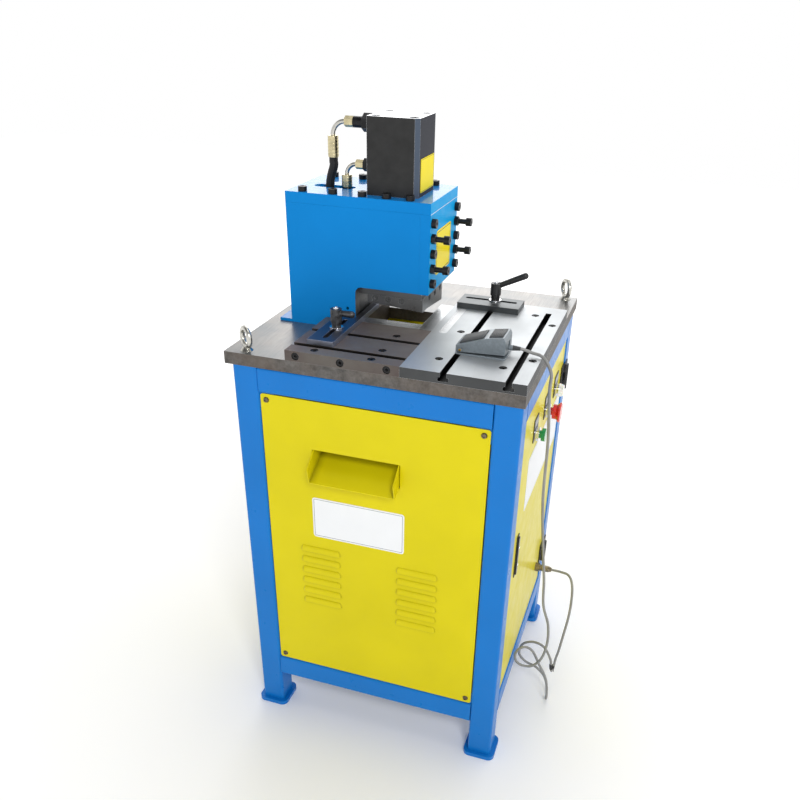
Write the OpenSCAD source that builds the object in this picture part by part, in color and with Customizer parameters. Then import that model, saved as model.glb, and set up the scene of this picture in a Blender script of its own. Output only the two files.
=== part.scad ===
// Corner notching machine on a sheet-metal cabinet, with its hydraulic head, tables, fences and foot switch
// Millimetres; X to the right along the front, Y to the back, Z up from the floor

/* [Frame] */
// Width of the frame over its legs
frame_w = 560; // [540:1:600]
// Depth of the frame over its legs
frame_d = 560; // [540:1:600]
// Height of the frame above the floor
frame_h = 865; // [840:1:900]
// Side of the square leg and rail tubes
tube = 52; // [48:1:56]
// Wall of the tubes
tube_wall = 3; // [2:0.5:5]
// Height of the underside of the bottom rails
rail_z = 95; // [85:1:120]
// Overhang of each foot plate round its leg
foot_over = 9; // [6:1:12]
// Thickness of each foot plate
foot_t = 10; // [6:1:14]

/* [Panels and door] */
// Thickness of the sheets
sheet_t = 2; // [1.5:0.25:2.5]
// Gap round each panel in its opening
panel_gap = 1.5; // [1:0.25:2.5]
// Depth of the panel faces behind the frame
panel_inset = 3; // [2.5:0.25:4]
// Length of the straight part of one louvre
louvre_l = 76; // [60:1:84]
// Bulge of one louvre out of its panel's back
louvre_r = 6; // [5:0.25:8]
// Height of one louvre
louvre_h = 11.5; // [9:0.5:16]
// Distance from one louvre to the next
louvre_pitch = 27; // [22:1:30]
// Number of louvres in each group
louvre_rows = 6; // [3:1:7]
// Width of the waste chute
chute_w = 178; // [165:1:190]

/* [Base plate and tables] */
// Thickness of the base plate
plate_t = 24; // [20:1:28]
// Overhang of the base plate on the left
plate_left = 13.5; // [10:0.5:16]
// Overhang of the base plate on the right
plate_right = 3.5; // [2:0.5:6]
// Thickness of the tables
table_t = 20; // [19:0.5:24]
// Left edge of the left table from the frame's left face
left_table_x = 113; // [105:1:120]
// Depth of the right table
right_table_d = 415; // [412:1:430]
// Width of the neck of the T-slots
neck_w = 12; // [11:0.5:14]
// Width of the foot of the T-slots
tee_w = 20; // [19:0.5:22]

/* [Cut] */
// Right cutting edge from the frame's left face
cut_x = 307; // [306.5:0.25:308]
// Front cutting edge from the frame's front face
cut_y = 218; // [217:0.25:219]
// Length of the front cutting edge
cut_len_x = 115.5; // [112:0.5:116]
// Length of the right cutting edge
cut_len_y = 132; // [128:0.5:133]
// Width of the blade bars
blade_w = 28; // [26:0.5:29]
// Height of the upper blades at the left end
blade_h_left = 17; // [16:0.5:19]
// Height of the upper blades at the corner
blade_h_corner = 26; // [22:0.5:28]
// Height of the upper blades at the back end
blade_h_back = 38; // [30:0.5:40]
// Height of the raised ram above the tables
ram_gap = 50; // [48:0.5:54]

/* [Head] */
// Left face of the head from the frame's left face
head_x = 35.5; // [33:0.5:37]
// Width of the head
head_w = 290; // [289:0.5:293]
// Front face of the head from the frame's front face
head_y = 192; // [191:0.25:192.5]
// Depth of the head
head_d = 180; // [179:0.5:186]
// Height of the head with its cover
head_h = 257; // [250:1:270]
// Thickness of the head's plates
wall = 20; // [18:0.5:21]
// Thickness of the cover
cover_t = 20; // [16:1:24]
// Left side of the throat from the frame's left face
throat_x = 176; // [174:0.5:177]
// Height of the throat above the base plate
throat_h = 88; // [84:0.5:92]
// Width of the cylinder block
cyl_w = 99.5; // [96:0.5:104]
// Depth of the cylinder block
cyl_d = 98; // [94:0.5:102]
// Height of the cylinder block
cyl_h = 136; // [130:1:145]
// Radius of the piston rod
rod_r = 20; // [16:0.5:22]

/* [Fences and levers] */
// Thickness of the left fence
fence_t = 10; // [8:0.5:10.5]
// Width of the left fence
fence_w = 52; // [48:0.5:56]
// Width of the fence's nose
nose_w = 12.5; // [10:0.5:13]
// Thickness of the right stop
stop_t = 12; // [10:0.5:14]
// Length of the right stop
stop_l = 130; // [122:1:135]
// Depth of the right stop
stop_d = 61; // [56:0.5:64]
// Radius of the lever hubs
hub_r = 11; // [10:0.5:12]
// Length of the left lever's arm
left_arm_l = 32; // [26:1:36]
// Length of the right lever's arm
right_arm_l = 66; // [55:1:72]

/* [Foot switch and cord] */
// Length of the foot switch
switch_l = 94; // [90:0.5:98]
// Width of the foot switch
switch_w = 58; // [54:0.5:62]
// Height of the pedal at its heel
pedal_h = 41; // [38:0.5:44]
// Radius of the cord
cord_r = 3; // [2.5:0.25:3.5]

/* [Hidden] */
$fn = 48;
// Overrun of every cut past the face it goes through
over = 1;
// Half and a quarter of a span, in which things are set out
half_share = 0.5;
quarter_share = 0.25;

// Colours
blue = [0.05, 0.36, 0.72];
yellow = [0.86, 0.80, 0.08];
steel = [0.62, 0.62, 0.60];
dark_steel = [0.30, 0.29, 0.28];
black = [0.06, 0.06, 0.065];
zinc = [0.75, 0.75, 0.73];
brass = [0.72, 0.56, 0.25];
grey = [0.42, 0.48, 0.50];
white = [0.92, 0.92, 0.90];
red = [0.80, 0.10, 0.07];
green = [0.05, 0.60, 0.25];

// Clearances
fit = 0.1;
run = 0.05;
free = 0.3;

// Frame
tube_r = 6;
tab_w = 30;
tab_t = 3;
tray_t = 3;
foot_r = 14;
rail_top = rail_z + tube;
open_z0 = rail_top;
open_z1 = frame_h - tube;
open_h = open_z1 - open_z0;
plate_top = frame_h + plate_t;
table_top = plate_top + table_t;

// Panels
panel_r = 5;
screw_in = 13.5;
pan_r = 6;
pan_h = 3.4;
pan_shank_r = 3;
louvre_shares = [0.296429, 0.671429];
louvre_top_shares = [0.482, 0.4715];
louvre_arc = 5;
hood_t = 1.5;
mouth_h = 2;
panel_back = panel_inset + sheet_t;
louvre_top_z = [for (s = louvre_top_shares) open_z0 + open_h * s];
tray_in = panel_back + tab_t + panel_gap;

// Waste chute
chute_shift = 2.25;
lip_y = -22;
lip_drop = 219;
ear_y = -30;
ear_drop = 186;
mouth_drop = 158;
chute_flange = 22;
chute_lap = 6;
chute_floor_t = 2.4;
chute_x = cut_x - (cut_len_x + chute_w) * half_share - chute_shift;
lip_z = frame_h - lip_drop;
ear_z = frame_h - ear_drop;
mouth_z = frame_h - mouth_drop;
chute_back = cut_y + cut_len_y + chute_lap;
chute_slope = (frame_h - chute_floor_t - lip_z) / (chute_back - lip_y);
cheek_meet = panel_inset + (frame_h - mouth_z) / chute_slope;

// Base plate and tables
plate_front = 2;
plate_back = 6.5;
neck_h = 9;
tee_h = 7;
seam = 0.2;
hole_relief = 1;
blade_y = cut_y - blade_w;
table_seam_x = cut_x + blade_w;
hole_x = cut_x - cut_len_x;
hole_back = cut_y + cut_len_y;
right_edge = frame_w + plate_right;
socket_r = 6.5;
socket_h = 8;
socket_key_r = 3.5;
socket_key_d = 4;
bolt_r = 4;
sink_r = 7.5;
sink_d = 9;
bolt_deep = 16;
front_bolt_l = 22;
strip_w = 16;
strip_t = 1.5;

// Places on the left table, as shares of its length and depth
left_l = table_seam_x - left_table_x - seam;
left_d = blade_y + plate_front;
left_slot_shares = [0.1875, 0.606771];
left_hole_shares = [[0.23445, 0.09375], [0.7394, 0.078125], [0.75744, 0.322917], [0.75744, 0.734375]];
front_hole_shares = [0.09468, 0.491434, 0.892696];
left_slot_front_y = left_d * left_slot_shares[0] - plate_front;
left_slot_back_y = left_d * left_slot_shares[1] - plate_front;
left_holes = [for (s = left_hole_shares) [left_table_x + left_l * s[0], left_d * s[1] - plate_front]];
front_holes = [for (s = front_hole_shares) left_table_x + left_l * s];

// Places on the right table: its width left over beside strip, slots and screw heads is dealt out in shares
right_slack = right_edge - table_seam_x - strip_w - 2 * tee_w - 6 * sink_r;
strip_share = 0.109804;
inner_hole_share = 0.133333;
near_slot_share = 0.062745;
middle_hole_share = 0.584314;
far_slot_share = 0.05098;
outer_hole_share = 0.011765;
strip_x = table_seam_x + right_slack * strip_share;
inner_hole_x = strip_x + strip_w + right_slack * inner_hole_share + sink_r;
right_slot_x = inner_hole_x + sink_r + right_slack * near_slot_share + tee_w * half_share;
middle_hole_x = right_slot_x + tee_w * half_share + right_slack * middle_hole_share + sink_r;
far_slot_x = middle_hole_x + sink_r + right_slack * far_slot_share + tee_w * half_share;
outer_hole_x = far_slot_x + tee_w * half_share + right_slack * outer_hole_share + sink_r;
inner_hole_shares = [0.146988, 0.503614];
middle_hole_shares = [0.146988, 0.857831];
outer_hole_shares = [0.26747, 0.742169];
far_slot_end_share = 0.910843;
strip_end_shares = [0.455422, 0.819277];
right_holes = concat(
    [for (s = inner_hole_shares) [inner_hole_x, right_table_d * s - plate_front]],
    [for (s = middle_hole_shares) [middle_hole_x, right_table_d * s - plate_front]],
    [for (s = outer_hole_shares) [outer_hole_x, right_table_d * s - plate_front]]
);
far_slot_end = right_table_d * far_slot_end_share - plate_front;
strip_y0 = right_table_d * strip_end_shares[0] - plate_front;
strip_y1 = right_table_d * strip_end_shares[1] - plate_front;

// Head
head_wall_h = head_h - cover_t;
head_z1 = plate_top + head_wall_h;
head_top = plate_top + head_h;
end_x = head_x + head_w - wall;
head_back = head_y + head_d;
throat_r = 12;
throat_z = plate_top + throat_h;
flange_w = 26;
flange_t = 6;
guide_t = wall;
grease_r = 3;
grease_in = 17;
grease_z = 43;
head_bolt_r = 5;
head_bolt_head_r = 8.5;
head_bolt_head_h = 9;
head_bolt_deep = 24;
bolt_edge = 12;
cover_shares = [0.116667, 0.346296, 0.564815, 0.742593, 0.912963];
cover_x = [for (s = cover_shares) head_x + (end_x - head_x) * s];
end_bolt_deep = 14;
end_bolt_shares = [0.134228, 0.510067, 0.885906];
jack_shares = [0.322148, 0.697987];
end_bolt_z = [for (s = end_bolt_shares) (head_wall_h - throat_h) * s];
jack_z = [for (s = jack_shares) (head_wall_h - throat_h) * s];
jack_r = 5;
jack_l = 24;
jack_head_r = 8;
jack_head_h = 11;
jack_nut_r = 9.2;
jack_nut_h = 8;
slot_r = 13;
cyl_in = 16;
cyl_fore = 15;
cyl_x = throat_x + cyl_in;
cyl_y = head_y + (head_d - cyl_d) * half_share - cyl_fore;
cyl_top = head_top + cyl_h;
cyl_chamfer = 8;
cyl_cx = cyl_x + cyl_w * half_share;
cyl_cy = cyl_y + cyl_d * half_share;
hose_off = 1;
hose_y = cyl_cy + hose_off;
piston_r = 31.5;
piston_h = 30;
rod_gland = 30;
cap_t = 16;
piston_gap = 4;
cyl_bolt_in = 14;
cyl_bolt_r = 6;
cyl_head_r = 9;
cyl_head_h = 12;
cyl_sink = 16;
cyl_bolt_end = 16;

// Ram
ram_h = 141;
tongue_h = 15;
tongue_in = 1;
ram_z = table_top + ram_gap;
ram_x0 = throat_x + fit;
ram_x1 = end_x - fit;
ram_y0 = head_y + wall + fit;
ram_y1 = head_back - wall - fit;
tongue_x0 = hole_x + tongue_in;
tongue_x1 = cut_x - blade_w;
tongue_y0 = cut_y + blade_w;
tongue_y1 = hole_back - tongue_in;
spigot_r = 12;
spigot_l = 24;
piston_top = cyl_top - cap_t - piston_gap;
blade_bolt_r = 4;
blade_sink_r = 6.5;
blade_sink_d = 9;
blade_bolt_drop = 8;
blade_bolt_l = 40;
blade_bolt_in = 16;

// Hydraulics
port_up_drop = 18;
port_low_lift = 44;
port_up_z = cyl_top - port_up_drop;
port_low_z = head_top + port_low_lift;
adapter_l = 44;
adapter_hex_r = 16.5;
adapter_neck_r = 10;
adapter_hex_l = 24;
thread_r = 8;
thread_l = 14;
up_nut_l = 17;
up_nut_r = 10;
low_nut_l = 16;
low_nut_r = 8.8;
low_adapter_l = 24;
low_nut_x = cyl_x - low_adapter_l;
low_hex_r = 12;
tube_up_r = 4.5;
tube_low_r = 4;
bend_up = 26;
bend_low = 20;
ferrule_r = 10;
ferrule_up_l = 38;
ferrule_low_l = 22;
ferrule_end_l = 40;
hose_r = 8.5;
up_turn_x = cyl_x - adapter_l - up_nut_l;
low_turn_x = low_nut_x - low_nut_l;
up_drop_x = up_turn_x - bend_up;
low_drop_x = low_turn_x - bend_low;
up_hose_z = port_up_z - bend_up - ferrule_up_l;
low_hose_z = port_low_z - bend_low - ferrule_low_l;
hose_apart = 42;
valve_hose_x = low_drop_x - hose_apart;
slot_left = 25.5;
slot_right = 17;
slot_x0 = valve_hose_x - slot_left;
slot_x1 = low_drop_x + slot_right;

// Power unit
rack_back = 137;
rack_x = frame_w - panel_inset - rack_back;
rack_gap = 90;
tank_gap = 8;
tank_back = 65;
tank_x = tube + tank_gap;
tank_y = 215;
tank_w = rack_x - rack_gap - tank_x;
tank_d = frame_d - tank_y - tank_back;
tank_h = 200;
tank_wall = 3;
lid_over = 8;
lid_t = 6;
lid_top = rail_top + tray_t + tank_h + lid_t;
motor_side = 80;
motor_back = 110;
motor_x = tank_x + tank_w - motor_side;
motor_y = tank_y + tank_d - motor_back;
bell_r = 60;
bell_h = 58;
motor_flange_r = 76;
motor_flange_h = 12;
motor_r = 62;
motor_h = 180;
fin_r = 69;
fin_t = 3;
fin_count = 24;
fan_r = 71;
fan_h = 48;
valve_w = 96;
valve_d = 60;
valve_h = 60;
valve_edge = 28;
valve_x = valve_hose_x - valve_edge;
coil_w = 62;
coil_h = 44;
coil_d = 46;

// Electrics
rack_y = 120;
rack_end = 120;
rack_drop = 266;
rack_d = frame_d - rack_y - rack_end;
rack_h = open_h - rack_drop;
rack_t = 3;
rack_foot = 40;
device_d = 70;

// Door
door_fold = 16;
door_face = frame_w - panel_inset;
hinge_kr = 5;
hinge_pin_r = 2.5;
hinge_l = 60;
hinge_leaf = 24;
hinge_u = frame_d - tube - panel_gap * half_share;
hinge_up = 88;
hinge_down = 89;
hinge_low_z = open_z0 + hinge_up;
hinge_high_z = open_z1 - hinge_down;
door_u = tube + panel_gap;
door_w = frame_d - 2 * door_u;
latch_in = 50.5;
latch_share = 0.510511;
latch_u = door_u + latch_in;
latch_z = open_z0 + open_h * latch_share;
latch_w = 22;
latch_h = 102;
latch_t = 1.5;
latch_r = 5;
handle_l = 93;
handle_w = 12;
handle_t = 2.5;
spindle_r = 5;
spindle_l = 26.5;
station_drop = 84;
station_shares = [0.288079, 0.537528, 0.789183];
station_z = open_z1 - station_drop;
station_u = [for (s = station_shares) door_u + door_w * s];
legend_w = 44;
legend_h = 50;
legend_t = 1.5;
legend_up = 12;
legend_r = 3;
neck_r = 11;
neck_l = 14;
bezel_r = 14.5;
bezel_l = 8;
block_w = 30;
block_h = 46;
block_l = 42;
stem_r = 8;
stem_in = 14;
button_r = 13;
button_l = 7.5;
button_travel = 4;
stop_r = 21;
stop_neck_r = 15.5;
stop_neck_l = 8;
stop_l_head = 17;
stop_travel = 6;
stop_round = 6;
stop_edge = 2;
lamp_r = 15;
lamp_l = 10;
gland_share = 0.844371;
gland_up = 83;
gland_u = door_u + door_w * gland_share;
gland_z = open_z0 + gland_up;
gland_l = 41.5;
gland_hex_r = 11;
gland_hex_l = 12;
gland_r = 8;
gland_tip_r = 5;
gland_tip_l = 8;
gland_in_r = 7;

// Fences and levers
fence_x1 = hole_x - fit;
fence_fore = 6;
fence_back = 8;
nose_in = 67;
fence_y0 = left_slot_front_y + fence_fore;
fence_y1 = blade_y - fence_back;
nose_y1 = cut_y + nose_in;
fence_z = table_top + fit;
fence_slot_in = 16;
fence_slot_end = 17;
fence_slot_y0 = fence_y0 + fence_slot_in;
fence_slot_y1 = fence_y1 - fence_slot_end;
clamp_slot_r = 5;
left_bolt_in = 23.9;
left_bolt_x = fence_x1 - left_bolt_in;
stop_side = 72;
stop_share = 0.831325;
stop_slot_in = 9;
stop_slot_end = 11;
stop_bolt_in = 38;
right_stop_x = right_slot_x - stop_side;
right_stop_y = right_table_d * stop_share - plate_front;
stop_slot_x0 = right_stop_x + stop_slot_in;
stop_slot_x1 = right_stop_x + stop_l - stop_slot_end;
stop_bolt_y = right_stop_y + stop_bolt_in;
clamp_r = 4;
clamp_top = 26;
nut_lift = 0.6;
washer_r = 13;
washer_t = 2.5;
hub_h = 35;
hub_foot_r = 9;
hub_foot_h = 10;
arm_r = 5.5;
arm_tip_r = 6.5;
arm_down = 8;
left_arm_tilt = 0;
right_arm_tilt = 26;

// Eye bolts
eye_left_in = 24.6;
eye_front_in = 18.6;
eye_right_in = 21.6;
eye_back_in = 14;
eye_left_turn = -39;
eye_right_turn = -57;
eye_spots = [
    [eye_left_in, eye_front_in, eye_left_turn],
    [frame_w - eye_right_in, frame_d - eye_back_in, eye_right_turn]
];
eye_ring_r = 17.5;
eye_wire_r = 5;
eye_collar_r = 12.5;
eye_collar_h = 8;
eye_shank_r = 5;
eye_shank_l = 18;
eye_lift = 25;

// Foot switch
switch_side = 60.5;
switch_x = right_edge - switch_side - switch_l;
switch_y = 91;
switch_base_t = 3;
pedal_in = 1.5;
pedal_wall = 2.5;
pedal_lift = 4.5;
toe_h = 17;
knee_share = 0.6;
knee_h = 36;
heel_in = 5;
heel_drop = 7;
heel_lift = 8.5;
pivot_in = 10;
pivot_z = 9.5;
pivot_r = 2.5;
pivot_head_r = 4;
pivot_head_h = 1.5;
ear_l = 8;
ear_w = 12;
ear_h = 13;
microswitch_l = 26;
microswitch_w = 22;
microswitch_h = 16;
microswitch_x = 58;
exit_y = 35;
exit_z = 13;
exit_r = 5;
exit_l = 12;
exit_out = 6;
notch_w = 14;
notch_h = 26;

// Cord route from the foot switch over the table's edge, down to its hank on the floor and back up to the gland
cord_side = 8;
cord_steps = 2;
cord_start_x = switch_x + switch_l + exit_out;
cord_start_y = switch_y + exit_y;
cord_start_z = table_top + exit_z;
cord_mid = [
    [515, 126, 922], [521, 126, 922], [528.8, 127, 921], [545.6, 129.3, 915.9], [559.5, 126.4, 914.5],
    [570.1, 120.7, 910.2], [578.3, 116.4, 900.8], [585.3, 116.5, 883.1], [584, 126, 845], [588, 155, 730],
    [589, 174, 590], [600, 194, 450], [609, 200, 370], [615, 200, 300], [631, 198, 250], [635, 196, 200],
    [627, 193, 152], [608, 189, 126], [586, 186, 123], [571, 184, 133], [566, 187, 149], [573, 193, 164],
    [588, 200, 168], [604, 205, 155], [620, 209, 120], [641, 208, 80], [648, 205, 45], [649, 208, 22],
    [648, 215.5, 9.4], [647, 226, 5], [646, 236.5, 9.4], [643, 244, 24], [632, 247, 52], [610, 246, 74],
    [585, 245, 84], [567, 248, 102], [572, 255, 127], [597, 255, 141], [624, 251, 136], [642, 246, 110],
    [646, 243.9, 95.8], [647.9, 243.8, 79.9], [648.9, 251.6, 67.6], [649.7, 262.1, 63.6],
    [651, 273.6, 67.6], [652.3, 283.6, 82.3], [656.2, 286.1, 104.3], [660, 291, 138], [666, 314, 195],
    [664, 350, 228], [656, 392, 236], [642.7, 422.9, 234], [624.1, 434.1, 230.5], [611, 436, 230],
    [604.75, 436, 230]
];
cord_route = concat(
    [[cord_start_x, cord_start_y, cord_start_z]],
    cord_mid,
    [[door_face + gland_l, gland_u, gland_z]]
);

// Hose routes from the fittings under the ports down through the column to the valve block
hose_side = 12;
hose_lean = 9;
hose_bow = 151;
hose_end_z = lid_top + valve_h + ferrule_end_l;
hose_up_route = [
    [up_drop_x, hose_y, up_hose_z], [up_drop_x, hose_y, up_hose_z - hose_r],
    [up_drop_x, hose_y, up_hose_z - 2 * hose_r], [up_drop_x - hose_lean, hose_y, head_top],
    [valve_hose_x, hose_y, plate_top + hose_bow], [valve_hose_x, hose_y, plate_top],
    [valve_hose_x, hose_y, hose_end_z]
];
hose_low_route = [
    [low_drop_x, hose_y, low_hose_z], [low_drop_x, hose_y, (low_hose_z + hose_end_z) / 2],
    [low_drop_x, hose_y, hose_end_z]
];

// Shared frame: the middle of the footprint stands at the origin
box_left = -max(plate_left, foot_over);
box_right = max(right_edge, door_face + gland_l);
box_front = min(ear_y, -foot_over);
box_back = frame_d + max(plate_back, foot_over);
mid_x = (box_left + box_right) * half_share;
mid_y = (box_front + box_back) * half_share;

// Sweep along a smoothed route
function unit(v) = v / norm(v);
function at_end(p, i) = i < 0 ? 2 * p[0] - p[1] : i >= len(p) ? 2 * p[len(p) - 1] - p[len(p) - 2] : p[i];
function curve(a, b, c, d, t) =
    (2 * b + (c - a) * t + (2 * a - 5 * b + 4 * c - d) * t * t + (3 * b - a - 3 * c + d) * t * t * t) / 2;
function smooth(p, n) = concat(
    [for (i = [0 : len(p) - 2], k = [0 : n - 1])
        curve(at_end(p, i - 1), p[i], p[i + 1], at_end(p, i + 2), k / n)],
    [p[len(p) - 1]]
);
function heading(p, i) = unit(p[min(i + 1, len(p) - 1)] - p[max(i - 1, 0)]);
function carried(p, i, m) =
    i == len(p) ? [] :
    let (t = heading(p, i), k = unit(m - (m * t) * t)) concat([k], carried(p, i + 1, k));
function ring(c, t, m, r, n) =
    let (b = cross(t, m)) [for (j = [0 : n - 1]) c + r * cos(360 * j / n) * m + r * sin(360 * j / n) * b];

module sweep(route, r, n, steps) {
    p = smooth(route, steps);
    m = carried(p, 0, [0, 1, 0]);
    last = len(p) - 1;
    points = [for (i = [0 : last]) each ring(p[i], heading(p, i), m[i], r, n)];
    sides = [for (i = [0 : last - 1], j = [0 : n - 1])
        [i * n + j, (i + 1) * n + j, (i + 1) * n + (j + 1) % n, i * n + (j + 1) % n]];
    start = [[for (j = [0 : n - 1]) j]];
    end = [[for (j = [0 : n - 1]) last * n + n - 1 - j]];
    polyhedron(points, concat(sides, start, end));
}

// Helpers
module place() {
    translate([-mid_x, -mid_y, 0]) children();
}

module round_rect(w, d, r) {
    translate([r, 0]) square([w - 2 * r, d]);
    translate([0, r]) square([w, d - 2 * r]);
    for (x = [r, w - r], y = [r, d - r]) translate([x, y]) circle(r);
}

module stadium(l, r) {
    translate([0, -r]) square([l, 2 * r]);
    circle(r);
    translate([l, 0]) circle(r);
}

module hex(r, h) {
    cylinder(h = h, r = r, $fn = 6);
}

module on_wall(side) {
    if (side == "front") children();
    if (side == "rear") translate([frame_w, frame_d, 0]) rotate([0, 0, 180]) children();
    if (side == "left") translate([0, frame_d, 0]) rotate([0, 0, -90]) children();
    if (side == "right") translate([frame_w, 0, 0]) rotate([0, 0, 90]) children();
}

module outward(u, y, z) {
    translate([u, y, z]) rotate([90, 0, 0]) children();
}

// Frame
module tube_section() {
    difference() {
        round_rect(tube, tube, tube_r);
        translate([tube_wall, tube_wall]) square(tube - 2 * tube_wall);
    }
}

module rails(z) {
    for (y = [0, frame_d - tube])
        translate([tube, y, z]) rotate([90, 0, 90]) linear_extrude(frame_w - 2 * tube) tube_section();
    for (x = [0, frame_w - tube])
        translate([x, frame_d - tube, z]) rotate([90, 0, 0]) linear_extrude(frame_d - 2 * tube) tube_section();
}

module tabs(w, z) {
    for (x = [tube, w - tube - tab_w]) translate([x, panel_back, z]) cube([tab_w, tab_t, tab_w]);
}

module screw_spots(w, z) {
    for (x = [tube + screw_in, w - tube - screw_in]) translate([x, panel_inset, z]) children();
}

module pan_hole() {
    translate([0, -over, 0]) rotate([-90, 0, 0])
        cylinder(h = sheet_t + tab_t + 2 * over, r = pan_shank_r + fit);
}

module frame_legs() {
    color(blue) place() for (x = [0, frame_w - tube], y = [0, frame_d - tube])
        translate([x, y, foot_t]) linear_extrude(frame_h - foot_t) tube_section();
}

module frame_top_rails() {
    color(blue) place() difference() {
        union() {
            rails(frame_h - tube);
            on_wall("front") tabs(frame_w, open_z1 - tab_w);
            on_wall("rear") tabs(frame_w, open_z1 - tab_w);
            on_wall("left") tabs(frame_d, open_z1 - tab_w);
        }
        on_wall("front") screw_spots(frame_w, open_z1 - screw_in) pan_hole();
        on_wall("rear") screw_spots(frame_w, open_z1 - screw_in) pan_hole();
        on_wall("left") screw_spots(frame_d, open_z1 - screw_in) pan_hole();
    }
}

module frame_bottom_rails() {
    color(blue) place() difference() {
        union() {
            rails(rail_z);
            on_wall("front") tabs(frame_w, open_z0);
            on_wall("rear") tabs(frame_w, open_z0);
            on_wall("left") tabs(frame_d, open_z0);
        }
        on_wall("front") screw_spots(frame_w, open_z0 + screw_in) pan_hole();
        on_wall("rear") screw_spots(frame_w, open_z0 + screw_in) pan_hole();
        on_wall("left") screw_spots(frame_d, open_z0 + screw_in) pan_hole();
    }
}

module foot_plates() {
    color(blue) place() for (x = [0, frame_w - tube], y = [0, frame_d - tube])
        translate([x - foot_over, y - foot_over, 0])
            linear_extrude(foot_t) round_rect(tube + 2 * foot_over, tube + 2 * foot_over, foot_r);
}

// Panels
module panel_sheet(w) {
    outward(tube + panel_gap, panel_back, open_z0 + panel_gap) linear_extrude(sheet_t)
        round_rect(w - 2 * tube - 2 * panel_gap, open_h - 2 * panel_gap, panel_r);
}

module plain_panel(w) {
    difference() {
        panel_sheet(w);
        screw_spots(w, open_z0 + screw_in) pan_hole();
        screw_spots(w, open_z1 - screw_in) pan_hole();
    }
}

module louvre_profile(r, h, low) {
    polygon(concat([[0, -low], [r, -low]],
        [for (i = [0 : louvre_arc]) [r * cos(90 * i / louvre_arc), h * sin(90 * i / louvre_arc)]]));
}

module louvre_body(r, h, low) {
    translate([-louvre_l * half_share, 0, 0]) rotate([90, 0, 90]) mirror([1, 0]) linear_extrude(louvre_l)
        louvre_profile(r, h, low);
    for (x = [-louvre_l * half_share, louvre_l * half_share]) translate([x, 0, 0])
        rotate_extrude() louvre_profile(r, h, low);
}

module louvre_spots() {
    for (g = [0 : len(louvre_shares) - 1], i = [0 : louvre_rows - 1])
        translate([frame_w * louvre_shares[g], panel_back, louvre_top_z[g] - i * louvre_pitch]) children();
}

module louvre_hood() {
    span = louvre_l + 2 * louvre_r + 2 * over;
    difference() {
        louvre_body(louvre_r, louvre_h, mouth_h);
        louvre_body(louvre_r - hood_t, louvre_h - hood_t, mouth_h + over);
        translate([-span * half_share, 0, -mouth_h - 2 * over])
            cube([span, louvre_r + over, louvre_h + mouth_h + 3 * over]);
    }
}

module front_panel() {
    color(yellow) place() {
        difference() {
            plain_panel(frame_w);
            louvre_spots() louvre_body(louvre_r - hood_t, louvre_h - hood_t, mouth_h);
            translate([chute_x - panel_gap, 0, lip_z + (panel_inset - lip_y) * chute_slope - 2 * panel_gap])
                cube([chute_w + 2 * panel_gap, panel_back + over,
                    mouth_z + 2 * panel_gap - lip_z - (panel_inset - lip_y) * chute_slope + panel_gap]);
        }
        louvre_spots() louvre_hood();
    }
}

module left_panel() {
    color(yellow) place() on_wall("left") plain_panel(frame_d);
}

module rear_panel() {
    color(yellow) place() on_wall("rear") plain_panel(frame_w);
}

module pan_screw() {
    rotate([-90, 0, 0]) cylinder(h = sheet_t + tab_t, r = pan_shank_r);
    difference() {
        rotate([90, 0, 0]) cylinder(h = pan_h, r1 = pan_r, r2 = pan_r - pan_h * half_share);
        translate([0, -pan_h + panel_gap, 0]) rotate([90, 0, 0]) hex(pan_shank_r, pan_h);
    }
}

module panel_screws() {
    color(steel) place() {
        for (z = [open_z0 + screw_in, open_z1 - screw_in]) {
            on_wall("front") screw_spots(frame_w, z) pan_screw();
            on_wall("rear") screw_spots(frame_w, z) pan_screw();
            on_wall("left") screw_spots(frame_d, z) pan_screw();
        }
    }
}

module floor_tray() {
    color(grey) place() translate([0, 0, rail_top]) linear_extrude(tray_t) difference() {
        translate([tray_in, tray_in]) square([frame_w - 2 * tray_in, frame_d - 2 * tray_in]);
        for (x = [0, frame_w - tube - panel_gap], y = [0, frame_d - tube - panel_gap])
            translate([x, y]) square(tube + panel_gap);
        translate([frame_w - tube * half_share, 0]) square([tube, frame_d]);
    }
}

module waste_chute() {
    color(yellow) place() {
        translate([chute_x, 0, 0]) rotate([90, 0, 90]) linear_extrude(chute_w) polygon([
            [lip_y, lip_z], [chute_back, frame_h - chute_floor_t],
            [chute_back + chute_flange, frame_h - chute_floor_t], [chute_back + chute_flange, frame_h],
            [chute_back, frame_h], [lip_y, lip_z + chute_floor_t]
        ]);
        for (x = [chute_x, chute_x + chute_w - sheet_t])
            translate([x, 0, 0]) rotate([90, 0, 90]) linear_extrude(sheet_t) polygon([
                [lip_y, lip_z], [ear_y, ear_z], [panel_inset, mouth_z], [cheek_meet, frame_h],
                [chute_back, frame_h], [chute_back, frame_h - chute_floor_t]
            ]);
    }
}

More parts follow.
